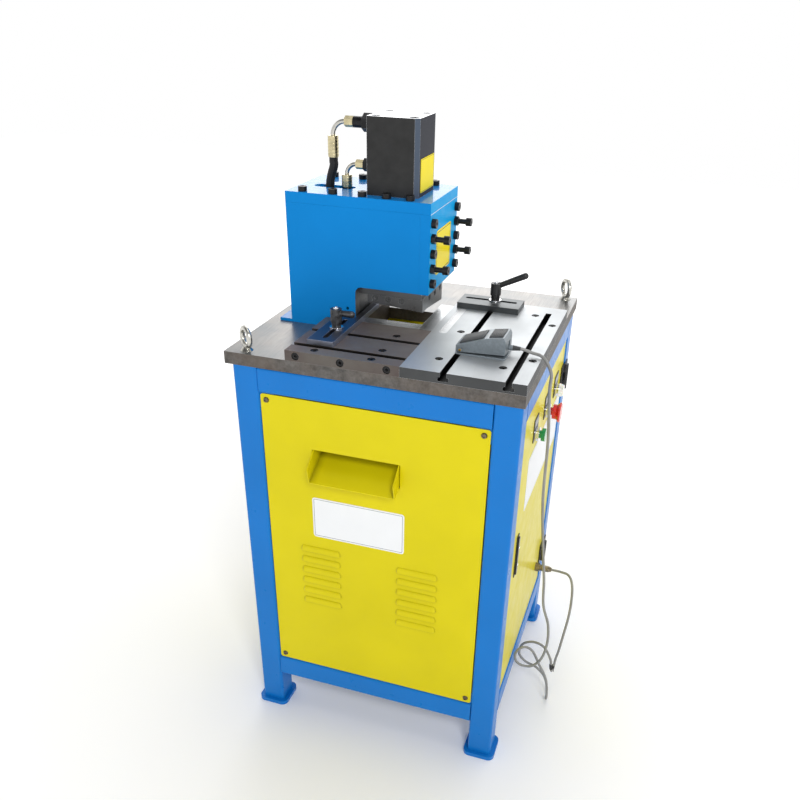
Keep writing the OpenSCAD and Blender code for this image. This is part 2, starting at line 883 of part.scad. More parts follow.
// Door with its fittings, each set out on the right wall
module side_door() {
    w = frame_d - 2 * tube - 2 * panel_gap;
    h = open_h - 2 * panel_gap;
    u0 = tube + panel_gap;
    z0 = open_z0 + panel_gap;
    color(yellow) place() on_wall("right") difference() {
        union() {
            panel_sheet(frame_d);
            for (u = [u0, u0 + w - sheet_t])
                translate([u, panel_inset, z0 + panel_r]) cube([sheet_t, door_fold, h - 2 * panel_r]);
            for (z = [z0, z0 + h - sheet_t])
                translate([u0 + panel_r, panel_inset, z]) cube([w - 2 * panel_r, door_fold, sheet_t]);
        }
        for (u = station_u) outward(u, panel_back + over, station_z)
            cylinder(h = sheet_t + 2 * over, r = neck_r + fit);
        outward(gland_u, panel_back + over, gland_z) cylinder(h = sheet_t + 2 * over, r = gland_in_r + fit);
        outward(latch_u, panel_back + over, latch_z) cylinder(h = sheet_t + 2 * over, r = spindle_r + free);
    }
}

module hinge_frame_leaves() {
    third = (hinge_l - 2 * free) / 3;
    color(black) place() on_wall("right") for (z = [hinge_low_z, hinge_high_z])
        translate([hinge_u, -hinge_kr, z - hinge_l * half_share]) {
            translate([0, 0, third + free]) cylinder(h = third, r = hinge_kr);
            translate([0, hinge_kr - panel_inset, third + free]) cube([hinge_kr + free, panel_inset, third]);
            translate([hinge_kr + free, hinge_kr - panel_inset, 0]) cube([hinge_leaf, panel_inset, hinge_l]);
            cylinder(h = hinge_l, r = hinge_pin_r);
        }
}

module hinge_door_leaves() {
    third = (hinge_l - 2 * free) / 3;
    color(black) place() on_wall("right") for (z = [hinge_low_z, hinge_high_z])
        translate([hinge_u, -hinge_kr, z - hinge_l * half_share]) difference() {
            union() {
                for (d = [0, 2 * third + 2 * free]) translate([0, 0, d]) {
                    cylinder(h = third, r = hinge_kr);
                    translate([-hinge_kr - free, 0, 0]) cube([hinge_kr + free, hinge_kr + panel_inset, third]);
                }
                translate([-hinge_kr - free - hinge_leaf, hinge_kr, 0]) cube([hinge_leaf, panel_inset, hinge_l]);
            }
            translate([0, 0, -over]) cylinder(h = hinge_l + 2 * over, r = hinge_pin_r + run);
        }
}

module latch_plate() {
    color(black) place() on_wall("right") difference() {
        outward(latch_u - latch_w * half_share, panel_inset, latch_z - latch_h * half_share)
            linear_extrude(latch_t) round_rect(latch_w, latch_h, latch_r);
        outward(latch_u, panel_inset + over, latch_z) cylinder(h = latch_t + 2 * over, r = spindle_r + run);
    }
}

module latch_handle() {
    color(black) place() on_wall("right") {
        outward(latch_u - handle_w * half_share, panel_inset - latch_t - free, latch_z - handle_l * half_share)
            linear_extrude(handle_t) round_rect(handle_w, handle_l, latch_r);
        outward(latch_u, panel_inset - latch_t - free + spindle_l, latch_z) cylinder(h = spindle_l, r = spindle_r);
    }
}

module legend_plates() {
    color(black) place() on_wall("right") for (u = station_u) difference() {
        outward(u - legend_w * half_share, panel_inset, station_z + legend_up - legend_h * half_share)
            linear_extrude(legend_t) round_rect(legend_w, legend_h, legend_r);
        outward(u, panel_inset + over, station_z) cylinder(h = legend_t + 2 * over, r = neck_r + fit);
    }
}

module operator_bodies() {
    color(steel) place() on_wall("right") for (u = station_u) difference() {
        union() {
            outward(u, panel_inset - legend_t, station_z) cylinder(h = bezel_l, r = bezel_r);
            outward(u, panel_back + neck_l, station_z) cylinder(h = neck_l + sheet_t + legend_t, r = neck_r);
            translate([u - block_w * half_share, panel_back + neck_l, station_z - block_h * half_share])
                cube([block_w, block_l, block_h]);
        }
        outward(u, panel_inset - legend_t - bezel_l + stem_in, station_z)
            cylinder(h = stem_in + over, r = stem_r + run);
    }
}

module start_button() {
    face = panel_inset - legend_t - bezel_l;
    color(green) place() on_wall("right") {
        outward(station_u[0], face - button_travel - free, station_z) cylinder(h = button_l, r = button_r);
        outward(station_u[0], face + stem_in - button_travel - free, station_z)
            cylinder(h = stem_in, r = stem_r);
    }
}

module stop_button() {
    face = panel_inset - legend_t - bezel_l;
    color(red) place() on_wall("right") {
        outward(station_u[1], face - stop_travel - free, station_z) rotate_extrude() polygon([
            [0, 0], [stop_neck_r, 0], [stop_neck_r, stop_neck_l], [stop_r, stop_l_head - 2 * stop_edge],
            [stop_r, stop_l_head - stop_edge], [stop_r - stop_edge, stop_l_head], [0, stop_l_head]
        ]);
        outward(station_u[1], face + stem_in - stop_travel - free, station_z) cylinder(h = stem_in, r = stem_r);
    }
}

module pilot_lamp() {
    face = panel_inset - legend_t - bezel_l;
    color(white) place() on_wall("right") {
        outward(station_u[2], face, station_z) cylinder(h = lamp_l, r1 = lamp_r, r2 = lamp_r - stop_round * half_share);
        outward(station_u[2], face + stem_in, station_z) cylinder(h = stem_in, r = stem_r);
    }
}

module cord_gland() {
    color(brass) place() on_wall("right") {
        outward(gland_u, panel_inset, gland_z) hex(gland_hex_r, gland_hex_l);
        outward(gland_u, panel_inset - gland_hex_l, gland_z)
            cylinder(h = gland_l - gland_hex_l - gland_tip_l, r = gland_r);
        outward(gland_u, panel_inset - gland_l + gland_tip_l, gland_z)
            cylinder(h = gland_tip_l, r1 = gland_r, r2 = gland_tip_r);
        outward(gland_u, panel_inset + gland_tip_l, gland_z) cylinder(h = gland_tip_l, r = gland_in_r);
    }
}

module foot_switch_cord() {
    color(grey) place() sweep(cord_route, cord_r, cord_side, cord_steps);
}

// Base plate and tables
module down_holes(spots, r, z) {
    for (s = spots) translate([s[0], s[1], z]) cylinder(h = plate_t + table_t, r = r);
}

module base_plate() {
    color(dark_steel) place() difference() {
        translate([-plate_left, -plate_front, frame_h])
            cube([frame_w + plate_left + plate_right, frame_d + plate_front + plate_back, plate_t]);
        translate([hole_x - hole_relief, cut_y - hole_relief, frame_h - over])
            cube([cut_len_x + 2 * hole_relief, cut_len_y + 2 * hole_relief, plate_t + 2 * over]);
        translate([slot_x0 + slot_r, hose_y, frame_h - over])
            linear_extrude(plate_t + 2 * over) stadium(slot_x1 - slot_x0 - 2 * slot_r, slot_r);
        down_holes(left_holes, bolt_r + fit, plate_top - bolt_deep);
        down_holes(right_holes, bolt_r + fit, plate_top - bolt_deep);
        down_holes(eye_spots, eye_shank_r + fit, plate_top - eye_shank_l - over);
    }
}

module t_slot(l) {
    translate([-over, -neck_w * half_share, table_top - neck_h]) cube([l + 2 * over, neck_w, neck_h + over]);
    translate([-over, -tee_w * half_share, table_top - neck_h - tee_h])
        cube([l + 2 * over, tee_w, tee_h]);
}

module table_holes(spots) {
    for (s = spots) translate([s[0], s[1], 0]) {
        translate([0, 0, plate_top - over]) cylinder(h = table_t + 2 * over, r = bolt_r + fit);
        translate([0, 0, table_top - sink_d]) cylinder(h = sink_d + over, r = sink_r);
    }
}

module left_table() {
    color(dark_steel) place() difference() {
        translate([left_table_x, -plate_front, plate_top]) cube([left_l, left_d - seam, table_t]);
        for (y = [left_slot_front_y, left_slot_back_y]) translate([left_table_x, y, 0]) t_slot(left_l);
        table_holes(left_holes);
        for (x = front_holes) translate([x, -plate_front, plate_top + table_t * half_share]) rotate([-90, 0, 0]) {
            translate([0, 0, -over]) cylinder(h = sink_d + over, r = sink_r);
            cylinder(h = front_bolt_l, r = bolt_r + fit);
        }
    }
}

module right_table() {
    color(steel) place() difference() {
        translate([table_seam_x, -plate_front, plate_top])
            cube([right_edge - table_seam_x, right_table_d, table_t]);
        translate([right_slot_x, -plate_front, 0]) rotate([0, 0, 90]) t_slot(right_table_d);
        translate([far_slot_x, -plate_front, 0]) rotate([0, 0, 90]) t_slot(far_slot_end + plate_front - over);
        table_holes(right_holes);
        translate([strip_x, strip_y0 + strip_w * half_share, table_top - strip_t - fit]) strip_shape(fit, strip_t + over);
    }
}

module strip_shape(gap, h) {
    r = strip_w * half_share + gap;
    linear_extrude(h) {
        translate([strip_w * half_share, 0]) circle(r);
        translate([-gap, 0]) square([2 * r, strip_y1 - strip_y0 - strip_w * half_share + gap]);
    }
}

module scale_strip() {
    color(white) place() translate([strip_x, strip_y0 + strip_w * half_share, table_top - strip_t - fit])
        strip_shape(0, strip_t);
}

module socket_screw(r, l, head_r, head_h, key_r, key_d) {
    translate([0, 0, -l]) cylinder(h = l, r = r);
    difference() {
        cylinder(h = head_h, r = head_r);
        translate([0, 0, head_h - key_d]) hex(key_r, key_d + over);
    }
}

module table_screw(l) {
    socket_screw(bolt_r, l, socket_r, socket_h, socket_key_r, socket_key_d);
}

module table_screws() {
    color(black) place() {
        for (s = concat(left_holes, right_holes))
            translate([s[0], s[1], table_top - sink_d]) table_screw(table_t - sink_d + bolt_deep);
        for (x = front_holes) translate([x, sink_d - plate_front, plate_top + table_t * half_share])
            rotate([90, 0, 0]) table_screw(front_bolt_l - sink_d);
    }
}

module lower_blade_front() {
    color(steel) place() translate([throat_x + seam, blade_y, plate_top])
        cube([cut_x - throat_x - 2 * seam, blade_w, table_t]);
}

module lower_blade_right() {
    color(steel) place() translate([cut_x, blade_y, plate_top])
        cube([blade_w - seam, hole_back - blade_y, table_t]);
}

module hole_side_bar() {
    color(dark_steel) place() translate([throat_x + seam, cut_y + seam, plate_top])
        cube([hole_x - throat_x - seam, cut_len_y - seam, table_t]);
}

// Head
module cheek_plate(y) {
    translate([head_x, y + wall, plate_top]) rotate([90, 0, 0]) linear_extrude(wall) difference() {
        square([end_x - head_x, head_wall_h]);
        translate([throat_x - head_x, -throat_r - over])
            round_rect(head_w, throat_h + throat_r + over, throat_r);
    }
}

module cover_spots() {
    for (x = cover_x, y = [head_y + bolt_edge, head_back - bolt_edge]) translate([x, y, 0]) children();
}

module end_spots(heights) {
    for (y = [head_y + bolt_edge, head_back - bolt_edge], z = heights) translate([0, y, throat_z + z]) children();
}

module head_body() {
    color(blue) place() difference() {
        union() {
            cheek_plate(head_y);
            cheek_plate(head_back - wall);
            translate([head_x, head_y + wall, plate_top]) cube([wall, head_d - 2 * wall, head_wall_h]);
            translate([head_x - flange_w, head_y, plate_top]) cube([flange_w, head_d, flange_t]);
        }
        cover_spots() translate([0, 0, head_z1 - head_bolt_deep])
            cylinder(h = head_bolt_deep + over, r = head_bolt_r + fit);
        end_spots(end_bolt_z) translate([end_x - end_bolt_deep, 0, 0]) rotate([0, 90, 0])
            cylinder(h = end_bolt_deep + over, r = head_bolt_r + fit);
        translate([throat_x - grease_in, head_y - over, plate_top + grease_z]) rotate([-90, 0, 0])
            cylinder(h = bolt_edge, r = grease_r);
    }
}

module throat_guide() {
    color(steel) place() translate([throat_x - guide_t, head_y + wall, plate_top])
        cube([guide_t, head_d - 2 * wall, head_wall_h]);
}

module end_plate() {
    color(blue) place() difference() {
        translate([end_x, head_y, throat_z]) cube([wall, head_d, head_wall_h - throat_h]);
        end_spots(end_bolt_z) translate([end_x - over, 0, 0]) rotate([0, 90, 0])
            cylinder(h = wall + 2 * over, r = head_bolt_r + fit);
        end_spots(jack_z) translate([end_x - over, 0, 0]) rotate([0, 90, 0])
            cylinder(h = wall + 2 * over, r = jack_r + fit);
    }
}

module end_plate_bolts() {
    color(black) place() end_spots(end_bolt_z) translate([end_x + wall, 0, 0]) rotate([0, 90, 0])
        socket_screw(head_bolt_r, wall + end_bolt_deep - over, head_bolt_head_r, head_bolt_head_h,
            socket_key_r, socket_key_d);
}

module jack_screws() {
    color(black) place() end_spots(jack_z) translate([end_x + wall + jack_l, 0, 0]) rotate([0, 90, 0])
        socket_screw(jack_r, wall + jack_l, jack_head_r, jack_head_h, socket_key_r, socket_key_d);
}

module jack_nuts() {
    color(black) place() end_spots(jack_z) translate([end_x + wall, 0, 0]) rotate([0, 90, 0]) difference() {
        hex(jack_nut_r, jack_nut_h);
        translate([0, 0, -over]) cylinder(h = jack_nut_h + 2 * over, r = jack_r + fit);
    }
}

module cyl_spots() {
    for (x = [cyl_x + cyl_bolt_in, cyl_x + cyl_w - cyl_bolt_in],
         y = [cyl_y + cyl_bolt_in, cyl_y + cyl_d - cyl_bolt_in]) translate([x, y, 0]) children();
}

module top_cover() {
    color(blue) place() difference() {
        translate([head_x, head_y, head_z1]) cube([head_w, head_d, cover_t]);
        translate([slot_x0 + slot_r, hose_y, head_z1 - over])
            linear_extrude(cover_t + 2 * over) stadium(slot_x1 - slot_x0 - 2 * slot_r, slot_r);
        translate([cyl_cx, cyl_cy, head_z1 - over]) cylinder(h = cover_t + 2 * over, r = rod_r + over);
        cover_spots() translate([0, 0, head_z1 - over]) cylinder(h = cover_t + 2 * over, r = head_bolt_r + fit);
        cyl_spots() translate([0, 0, head_top - cyl_bolt_end]) cylinder(h = cyl_bolt_end + over, r = cyl_bolt_r + fit);
    }
}

module cover_screws() {
    color(black) place() cover_spots() translate([0, 0, head_top])
        socket_screw(head_bolt_r, cover_t + head_bolt_deep - over, head_bolt_head_r, head_bolt_head_h,
            socket_key_r, socket_key_d);
}

module cylinder_block() {
    color(black) place() difference() {
        translate([cyl_x, cyl_y, head_top]) linear_extrude(cyl_h) polygon([
            [0, 0], [cyl_w - cyl_chamfer, 0], [cyl_w, cyl_chamfer], [cyl_w, cyl_d], [0, cyl_d]
        ]);
        translate([cyl_cx, cyl_cy, head_top - over]) cylinder(h = cyl_h * half_share, r = rod_r + run);
        translate([cyl_cx, cyl_cy, head_top + rod_gland])
            cylinder(h = cyl_h - rod_gland - cap_t, r = piston_r + run);
        cyl_spots() {
            translate([0, 0, head_top - over]) cylinder(h = cyl_h + 2 * over, r = cyl_bolt_r + fit);
            translate([0, 0, cyl_top - cyl_sink]) cylinder(h = cyl_sink + over, r = cyl_head_r + free);
        }
        for (z = [port_up_z, port_low_z]) translate([cyl_x - over, hose_y, z]) rotate([0, 90, 0])
            cylinder(h = thread_l + over + fit, r = thread_r + fit);
    }
}

module cylinder_screws() {
    color(black) place() cyl_spots() translate([0, 0, cyl_top - cyl_sink])
        socket_screw(cyl_bolt_r, cyl_h - cyl_sink + cyl_bolt_end - over, cyl_head_r, cyl_head_h,
            socket_key_r, socket_key_d);
}

// Ram with its piston and blades
module piston_rod() {
    color(steel) place() translate([cyl_cx, cyl_cy, 0]) {
        translate([0, 0, piston_top - piston_h]) cylinder(h = piston_h, r = piston_r);
        translate([0, 0, ram_z + ram_h]) cylinder(h = piston_top - ram_z - ram_h, r = rod_r);
        translate([0, 0, ram_z + ram_h - spigot_l]) cylinder(h = spigot_l, r = spigot_r);
    }
}

module blade_bolts_front() {
    span = cut_len_x - 2 * blade_bolt_in - blade_w;
    for (i = [0 : 2])
        translate([hole_x + blade_bolt_in + span * i / 2, cut_y + fit, ram_z - blade_bolt_drop])
            rotate([90, 0, 0]) children();
}

module blade_bolts_right() {
    span = cut_len_y - 2 * blade_bolt_in - blade_w;
    for (i = [0 : 2])
        translate([cut_x - fit, cut_y + blade_w + blade_bolt_in + span * i / 2, ram_z - blade_bolt_drop])
            rotate([0, 90, 0]) children();
}

module blade_bore() {
    translate([0, 0, -blade_bolt_l]) cylinder(h = blade_bolt_l, r = blade_bolt_r + fit);
    translate([0, 0, -blade_sink_d]) cylinder(h = blade_sink_d + over, r = blade_sink_r + fit);
}

module ram() {
    color(steel) place() difference() {
        union() {
            translate([ram_x0, ram_y0, ram_z]) cube([ram_x1 - ram_x0, ram_y1 - ram_y0, ram_h]);
            translate([tongue_x0, tongue_y0, ram_z - tongue_h])
                cube([tongue_x1 - tongue_x0, tongue_y1 - tongue_y0, tongue_h + over]);
        }
        translate([cyl_cx, cyl_cy, ram_z + ram_h - spigot_l - over])
            cylinder(h = spigot_l + 2 * over, r = spigot_r + fit);
        blade_bolts_front() blade_bore();
        blade_bolts_right() blade_bore();
    }
}

module upper_blade_front() {
    l = cut_len_x - fit;
    color(steel) place() difference() {
        translate([hole_x, cut_y + blade_w, ram_z]) rotate([90, 0, 0]) linear_extrude(blade_w - fit)
            polygon([[0, 0], [l, 0], [l, -blade_h_corner], [0, -blade_h_left]]);
        blade_bolts_front() blade_bore();
    }
}

module upper_blade_right() {
    l = cut_len_y - blade_w;
    color(steel) place() difference() {
        translate([cut_x - blade_w, cut_y + blade_w, ram_z]) rotate([90, 0, 90]) linear_extrude(blade_w - fit)
            polygon([[0, 0], [l, 0], [l, -blade_h_back], [0, -blade_h_corner]]);
        blade_bolts_right() blade_bore();
    }
}

module blade_screw() {
    translate([0, 0, -blade_sink_d])
        socket_screw(blade_bolt_r, blade_bolt_l - blade_sink_d - over, blade_sink_r, socket_h,
            socket_key_r, socket_key_d);
}

module blade_screws() {
    color(black) place() {
        blade_bolts_front() blade_screw();
        blade_bolts_right() blade_screw();
    }
}

// Hydraulics
module hose_adapters() {
    color(black) place() {
        translate([cyl_x - adapter_l, hose_y, port_up_z]) rotate([0, 90, 0]) {
            translate([0, 0, adapter_l - adapter_hex_l]) hex(adapter_hex_r, adapter_hex_l);
            cylinder(h = adapter_l - adapter_hex_l, r = adapter_neck_r);
            translate([0, 0, adapter_l]) cylinder(h = thread_l, r = thread_r);
        }
        translate([cyl_x - low_adapter_l, hose_y, port_low_z]) rotate([0, 90, 0]) {
            hex(low_hex_r, low_adapter_l);
            translate([0, 0, low_adapter_l]) cylinder(h = thread_l, r = thread_r);
        }
    }
}

module hose_fittings() {
    color(zinc) place() {
        translate([up_turn_x, hose_y, port_up_z]) rotate([0, 90, 0]) hex(up_nut_r, up_nut_l);
        translate([low_turn_x, hose_y, port_low_z]) rotate([0, 90, 0]) hex(low_nut_r, low_nut_l);
        translate([up_drop_x, hose_y, up_hose_z]) cylinder(h = ferrule_up_l, r = ferrule_r);
        translate([low_drop_x, hose_y, low_hose_z]) cylinder(h = ferrule_low_l, r = ferrule_r);
        for (x = [valve_hose_x, low_drop_x]) translate([x, hose_y, lid_top + valve_h])
            cylinder(h = ferrule_end_l, r = ferrule_r);
    }
}

module bent_tube(x, z, r, bend) {
    translate([x, hose_y, z - bend]) rotate([90, 0, 0]) rotate([0, 0, 90])
        rotate_extrude(angle = 90) translate([bend, 0]) circle(r);
}

module hose_tubes() {
    color(zinc) place() {
        bent_tube(up_turn_x, port_up_z, tube_up_r, bend_up);
        bent_tube(low_turn_x, port_low_z, tube_low_r, bend_low);
    }
}

module hoses() {
    color(black) place() {
        sweep(hose_up_route, hose_r, hose_side, cord_steps * 4);
        sweep(hose_low_route, hose_r, hose_side, cord_steps);
    }
}

// Power unit in the cabinet
module power_unit() {
    color(grey) place() {
        translate([tank_x, tank_y, rail_top + tray_t]) difference() {
            cube([tank_w, tank_d, tank_h]);
            translate([tank_wall, tank_wall, tank_wall])
                cube([tank_w - 2 * tank_wall, tank_d - 2 * tank_wall, tank_h]);
        }
        translate([tank_x - lid_over, tank_y - lid_over, lid_top - lid_t])
            cube([tank_w + 2 * lid_over, tank_d + 2 * lid_over, lid_t]);
        translate([motor_x, motor_y, lid_top]) {
            cylinder(h = bell_h, r = bell_r);
            translate([0, 0, bell_h]) cylinder(h = motor_flange_h, r = motor_flange_r);
            translate([0, 0, bell_h + motor_flange_h]) linear_extrude(motor_h) {
                circle(motor_r);
                for (i = [0 : fin_count - 1]) rotate(360 * i / fin_count)
                    translate([0, -fin_t * half_share]) square([fin_r, fin_t]);
            }
            translate([0, 0, bell_h + motor_flange_h + motor_h]) cylinder(h = fan_h, r = fan_r);
        }
        translate([valve_x, hose_y - valve_d * half_share, lid_top]) cube([valve_w, valve_d, valve_h]);
        translate([valve_x + valve_w, hose_y - coil_d * half_share, lid_top + (valve_h - coil_h) * half_share])
            cube([coil_w, coil_d, coil_h]);
    }
}

module electrics() {
    base = rail_top + tray_t;
    color(white) place() {
        translate([rack_x, rack_y, base]) cube([rack_t, rack_d, rack_h]);
        translate([rack_x, rack_y, base]) cube([rack_foot, rack_d, rack_t]);
        for (i = [0 : 2]) translate([rack_x + rack_t, rack_y + rack_d * (i + quarter_share) / 3, base + rack_h * half_share])
            cube([device_d, rack_d / 6, rack_h / 4]);
    }
}

// Fences with their clamps
module left_fence() {
    color(dark_steel) place() translate([0, 0, fence_z]) linear_extrude(fence_t) difference() {
        union() {
            translate([fence_x1 - fence_w, fence_y0]) square([fence_w, fence_y1 - fence_y0]);
            translate([fence_x1 - nose_w, fence_y0]) square([nose_w, nose_y1 - fence_y0]);
        }
        translate([left_bolt_x, fence_slot_y0 + clamp_slot_r]) rotate(90)
            stadium(fence_slot_y1 - fence_slot_y0 - 2 * clamp_slot_r, clamp_slot_r);
    }
}

module right_stop() {
    color(dark_steel) place() translate([0, 0, fence_z]) linear_extrude(stop_t) difference() {
        translate([right_stop_x, right_stop_y]) square([stop_l, stop_d]);
        translate([stop_slot_x0 + clamp_slot_r, stop_bolt_y])
            stadium(stop_slot_x1 - stop_slot_x0 - 2 * clamp_slot_r, clamp_slot_r);
    }
}

module clamp_bolt(t) {
    head = tee_w - 2 * nut_lift;
    neck = neck_w - 2 * nut_lift;
    translate([-head * half_share, -head * half_share, -neck_h - tee_h + nut_lift]) cube([head, head, tee_h - 2 * nut_lift]);
    translate([-neck * half_share, -neck * half_share, -neck_h - 2 * nut_lift]) cube([neck, neck, neck_h]);
    translate([0, 0, -neck_h]) cylinder(h = neck_h + fit + t + washer_t + clamp_top, r = clamp_r);
    translate([0, 0, fit + t + fit]) difference() {
        cylinder(h = washer_t, r = washer_r);
        translate([0, 0, -over]) cylinder(h = washer_t + 2 * over, r = clamp_r + fit);
    }
}

module clamp_lever(t, l, tilt) {
    translate([0, 0, fit + t + fit + washer_t + fit]) difference() {
        union() {
            cylinder(h = hub_foot_h, r = hub_foot_r);
            translate([0, 0, hub_foot_h]) cylinder(h = hub_h - hub_foot_h, r = hub_r);
            translate([0, 0, hub_h - arm_down]) rotate([0, 90 - tilt, 0]) {
                cylinder(h = l, r1 = arm_r, r2 = arm_tip_r);
                translate([0, 0, l]) sphere(arm_tip_r);
            }
        }
        translate([0, 0, -over]) cylinder(h = clamp_top + 2 * over, r = clamp_r + run);
    }
}

module left_clamp_bolt() {
    color(zinc) place() translate([left_bolt_x, left_slot_back_y, table_top]) clamp_bolt(fence_t);
}

module left_lever() {
    color(black) place() translate([left_bolt_x, left_slot_back_y, table_top])
        clamp_lever(fence_t, left_arm_l, left_arm_tilt);
}

module right_clamp_bolt() {
    color(zinc) place() translate([right_slot_x, stop_bolt_y, table_top]) clamp_bolt(stop_t);
}

module right_lever() {
    color(black) place() translate([right_slot_x, stop_bolt_y, table_top])
        clamp_lever(stop_t, right_arm_l, right_arm_tilt);
}

module eye_bolts() {
    color(steel) place() for (s = eye_spots) translate([s[0], s[1], plate_top]) rotate([0, 0, s[2]]) {
        translate([0, 0, -eye_shank_l]) cylinder(h = eye_shank_l, r = eye_shank_r);
        cylinder(h = eye_collar_h, r1 = eye_collar_r, r2 = eye_wire_r + over);
        translate([0, 0, eye_lift]) rotate([90, 0, 0]) rotate_extrude() translate([eye_ring_r, 0]) circle(eye_wire_r);
    }
}

// Foot switch on the right table
module foot_switch_base() {
    color(grey) place() translate([switch_x, switch_y, table_top]) {
        linear_extrude(switch_base_t) round_rect(switch_l, switch_w, switch_base_t);
        difference() {
            translate([pivot_in - ear_l * half_share, (switch_w - ear_w) * half_share, 0]) cube([ear_l, ear_w, ear_h]);
            translate([pivot_in, 0, pivot_z]) rotate([-90, 0, 0]) cylinder(h = switch_w, r = pivot_r);
        }
        translate([pivot_in, 0, pivot_z]) rotate([-90, 0, 0]) cylinder(h = switch_w, r = pivot_r);
        translate([pivot_in, -pivot_head_h, pivot_z]) rotate([-90, 0, 0]) cylinder(h = pivot_head_h, r = pivot_head_r);
        translate([pivot_in, switch_w, pivot_z]) rotate([-90, 0, 0]) cylinder(h = pivot_head_h, r = pivot_head_r);
        translate([microswitch_x, (switch_w - microswitch_w) * half_share, 0])
            cube([microswitch_l, microswitch_w, microswitch_h]);
        translate([switch_l - exit_l - exit_r, exit_y - exit_r, 0]) cube([exit_l, 2 * exit_r, exit_z + exit_r]);
        translate([switch_l - exit_l, exit_y, exit_z]) rotate([0, 90, 0]) cylinder(h = exit_l + exit_out, r = exit_r);
    }
}

module pedal_outline(in, lift) {
    knee = switch_l * knee_share;
    polygon([
        [pedal_in + in, lift], [pedal_in + in, toe_h - in], [knee, knee_h - in], [switch_l - heel_in - in, pedal_h - in],
        [switch_l - pedal_in - in, pedal_h - heel_drop - in], [switch_l - pedal_in - in, lift == 0 ? 0 : heel_lift]
    ]);
}

module foot_switch_pedal() {
    w = switch_w - 2 * pedal_in;
    color(grey) place() translate([switch_x, switch_y + pedal_in, table_top]) difference() {
        translate([0, w, 0]) rotate([90, 0, 0]) linear_extrude(w) pedal_outline(0, pedal_lift);
        translate([0, w - pedal_wall, 0]) rotate([90, 0, 0]) linear_extrude(w - 2 * pedal_wall)
            pedal_outline(pedal_wall, 0);
        translate([pivot_in, -over, pivot_z]) rotate([-90, 0, 0]) cylinder(h = switch_w, r = pivot_r + run);
        translate([switch_l - pedal_wall - pedal_in - over, exit_y - pedal_in - notch_w * half_share, 0])
            cube([pedal_wall + pedal_in + 2 * over, notch_w, notch_h + over]);
    }
}

frame_legs();
frame_top_rails();
frame_bottom_rails();
foot_plates();
front_panel();
left_panel();
rear_panel();
panel_screws();
floor_tray();
waste_chute();
side_door();
hinge_frame_leaves();
hinge_door_leaves();
latch_plate();
latch_handle();
legend_plates();
operator_bodies();
start_button();
stop_button();
pilot_lamp();
cord_gland();
foot_switch_cord();
base_plate();
left_table();
right_table();
table_screws();
lower_blade_front();
lower_blade_right();
hole_side_bar();
scale_strip();
head_body();
throat_guide();
end_plate();
end_plate_bolts();
jack_screws();
jack_nuts();
top_cover();
cover_screws();
cylinder_block();
cylinder_screws();
piston_rod();
ram();
upper_blade_front();
upper_blade_right();
blade_screws();
hose_adapters();
hose_fittings();
hose_tubes();
hoses();
left_fence();
left_clamp_bolt();
left_lever();
right_stop();
right_clamp_bolt();
right_lever();
eye_bolts();
foot_switch_base();
foot_switch_pedal();
power_unit();
electrics();
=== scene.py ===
"""Corner notching machine: finishes, small pieces, cord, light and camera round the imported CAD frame."""

import math

import bmesh
import bpy
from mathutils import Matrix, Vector


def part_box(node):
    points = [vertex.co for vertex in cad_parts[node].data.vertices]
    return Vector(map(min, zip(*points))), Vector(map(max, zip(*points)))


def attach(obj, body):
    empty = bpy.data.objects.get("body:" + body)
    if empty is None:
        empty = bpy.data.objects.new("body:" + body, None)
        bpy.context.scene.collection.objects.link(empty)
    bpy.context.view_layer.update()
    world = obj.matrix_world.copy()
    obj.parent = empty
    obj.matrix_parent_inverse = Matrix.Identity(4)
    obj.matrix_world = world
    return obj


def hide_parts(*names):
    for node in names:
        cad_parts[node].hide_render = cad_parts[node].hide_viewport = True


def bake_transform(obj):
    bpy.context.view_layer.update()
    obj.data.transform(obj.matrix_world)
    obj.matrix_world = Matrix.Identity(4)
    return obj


bl_info = {
    "name": "Corner Notcher",
    "version": (1, 0, 0),
    "blender": (4, 5, 0),
    "location": "3D View > Sidebar > Notcher",
    "description": "Dresses the corner notching machine with its finishes and small pieces",
    "category": "Object",
}

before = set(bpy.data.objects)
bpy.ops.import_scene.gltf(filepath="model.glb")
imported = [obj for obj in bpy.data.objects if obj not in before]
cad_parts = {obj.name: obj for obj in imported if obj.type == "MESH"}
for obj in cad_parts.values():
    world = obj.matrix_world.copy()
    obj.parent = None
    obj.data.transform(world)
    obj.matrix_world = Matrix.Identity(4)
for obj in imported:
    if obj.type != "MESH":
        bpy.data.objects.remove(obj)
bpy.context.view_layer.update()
MM = 0.001
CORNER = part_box("frame_legs")[0]
THROAT_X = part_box("throat_guide")[1][0]
THROAT_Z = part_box("end_plate")[0][2]
TABLE_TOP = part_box("right_table")[1][2]
STRIP_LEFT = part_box("scale_strip")[0][0]


def at(x, y, z):
    """A point given in millimetres from the frame's front left corner on the floor."""
    return Vector((CORNER[0] + x * MM, CORNER[1] + y * MM, z * MM))


def linear(red, green, blue):
    """A screen colour from 0 to 255 as scene-linear light."""
    shares = (red / 255, green / 255, blue / 255)
    return tuple(v / 12.92 if v <= 0.04045 else ((v + 0.055) / 1.055) ** 2.4 for v in shares)


def tone(base, factor):
    """A colour made lighter or darker."""
    return tuple(min(1.0, v * factor) for v in base)


def size(label, words, default):
    """A length property in metres."""
    return bpy.props.FloatProperty(
        name=label, description=words, default=default, subtype="DISTANCE", unit="LENGTH", precision=4)


def colour(label, words, default):
    """A colour property."""
    return bpy.props.FloatVectorProperty(
        name=label, description=words, default=default, subtype="COLOR", size=3, min=0, max=1)


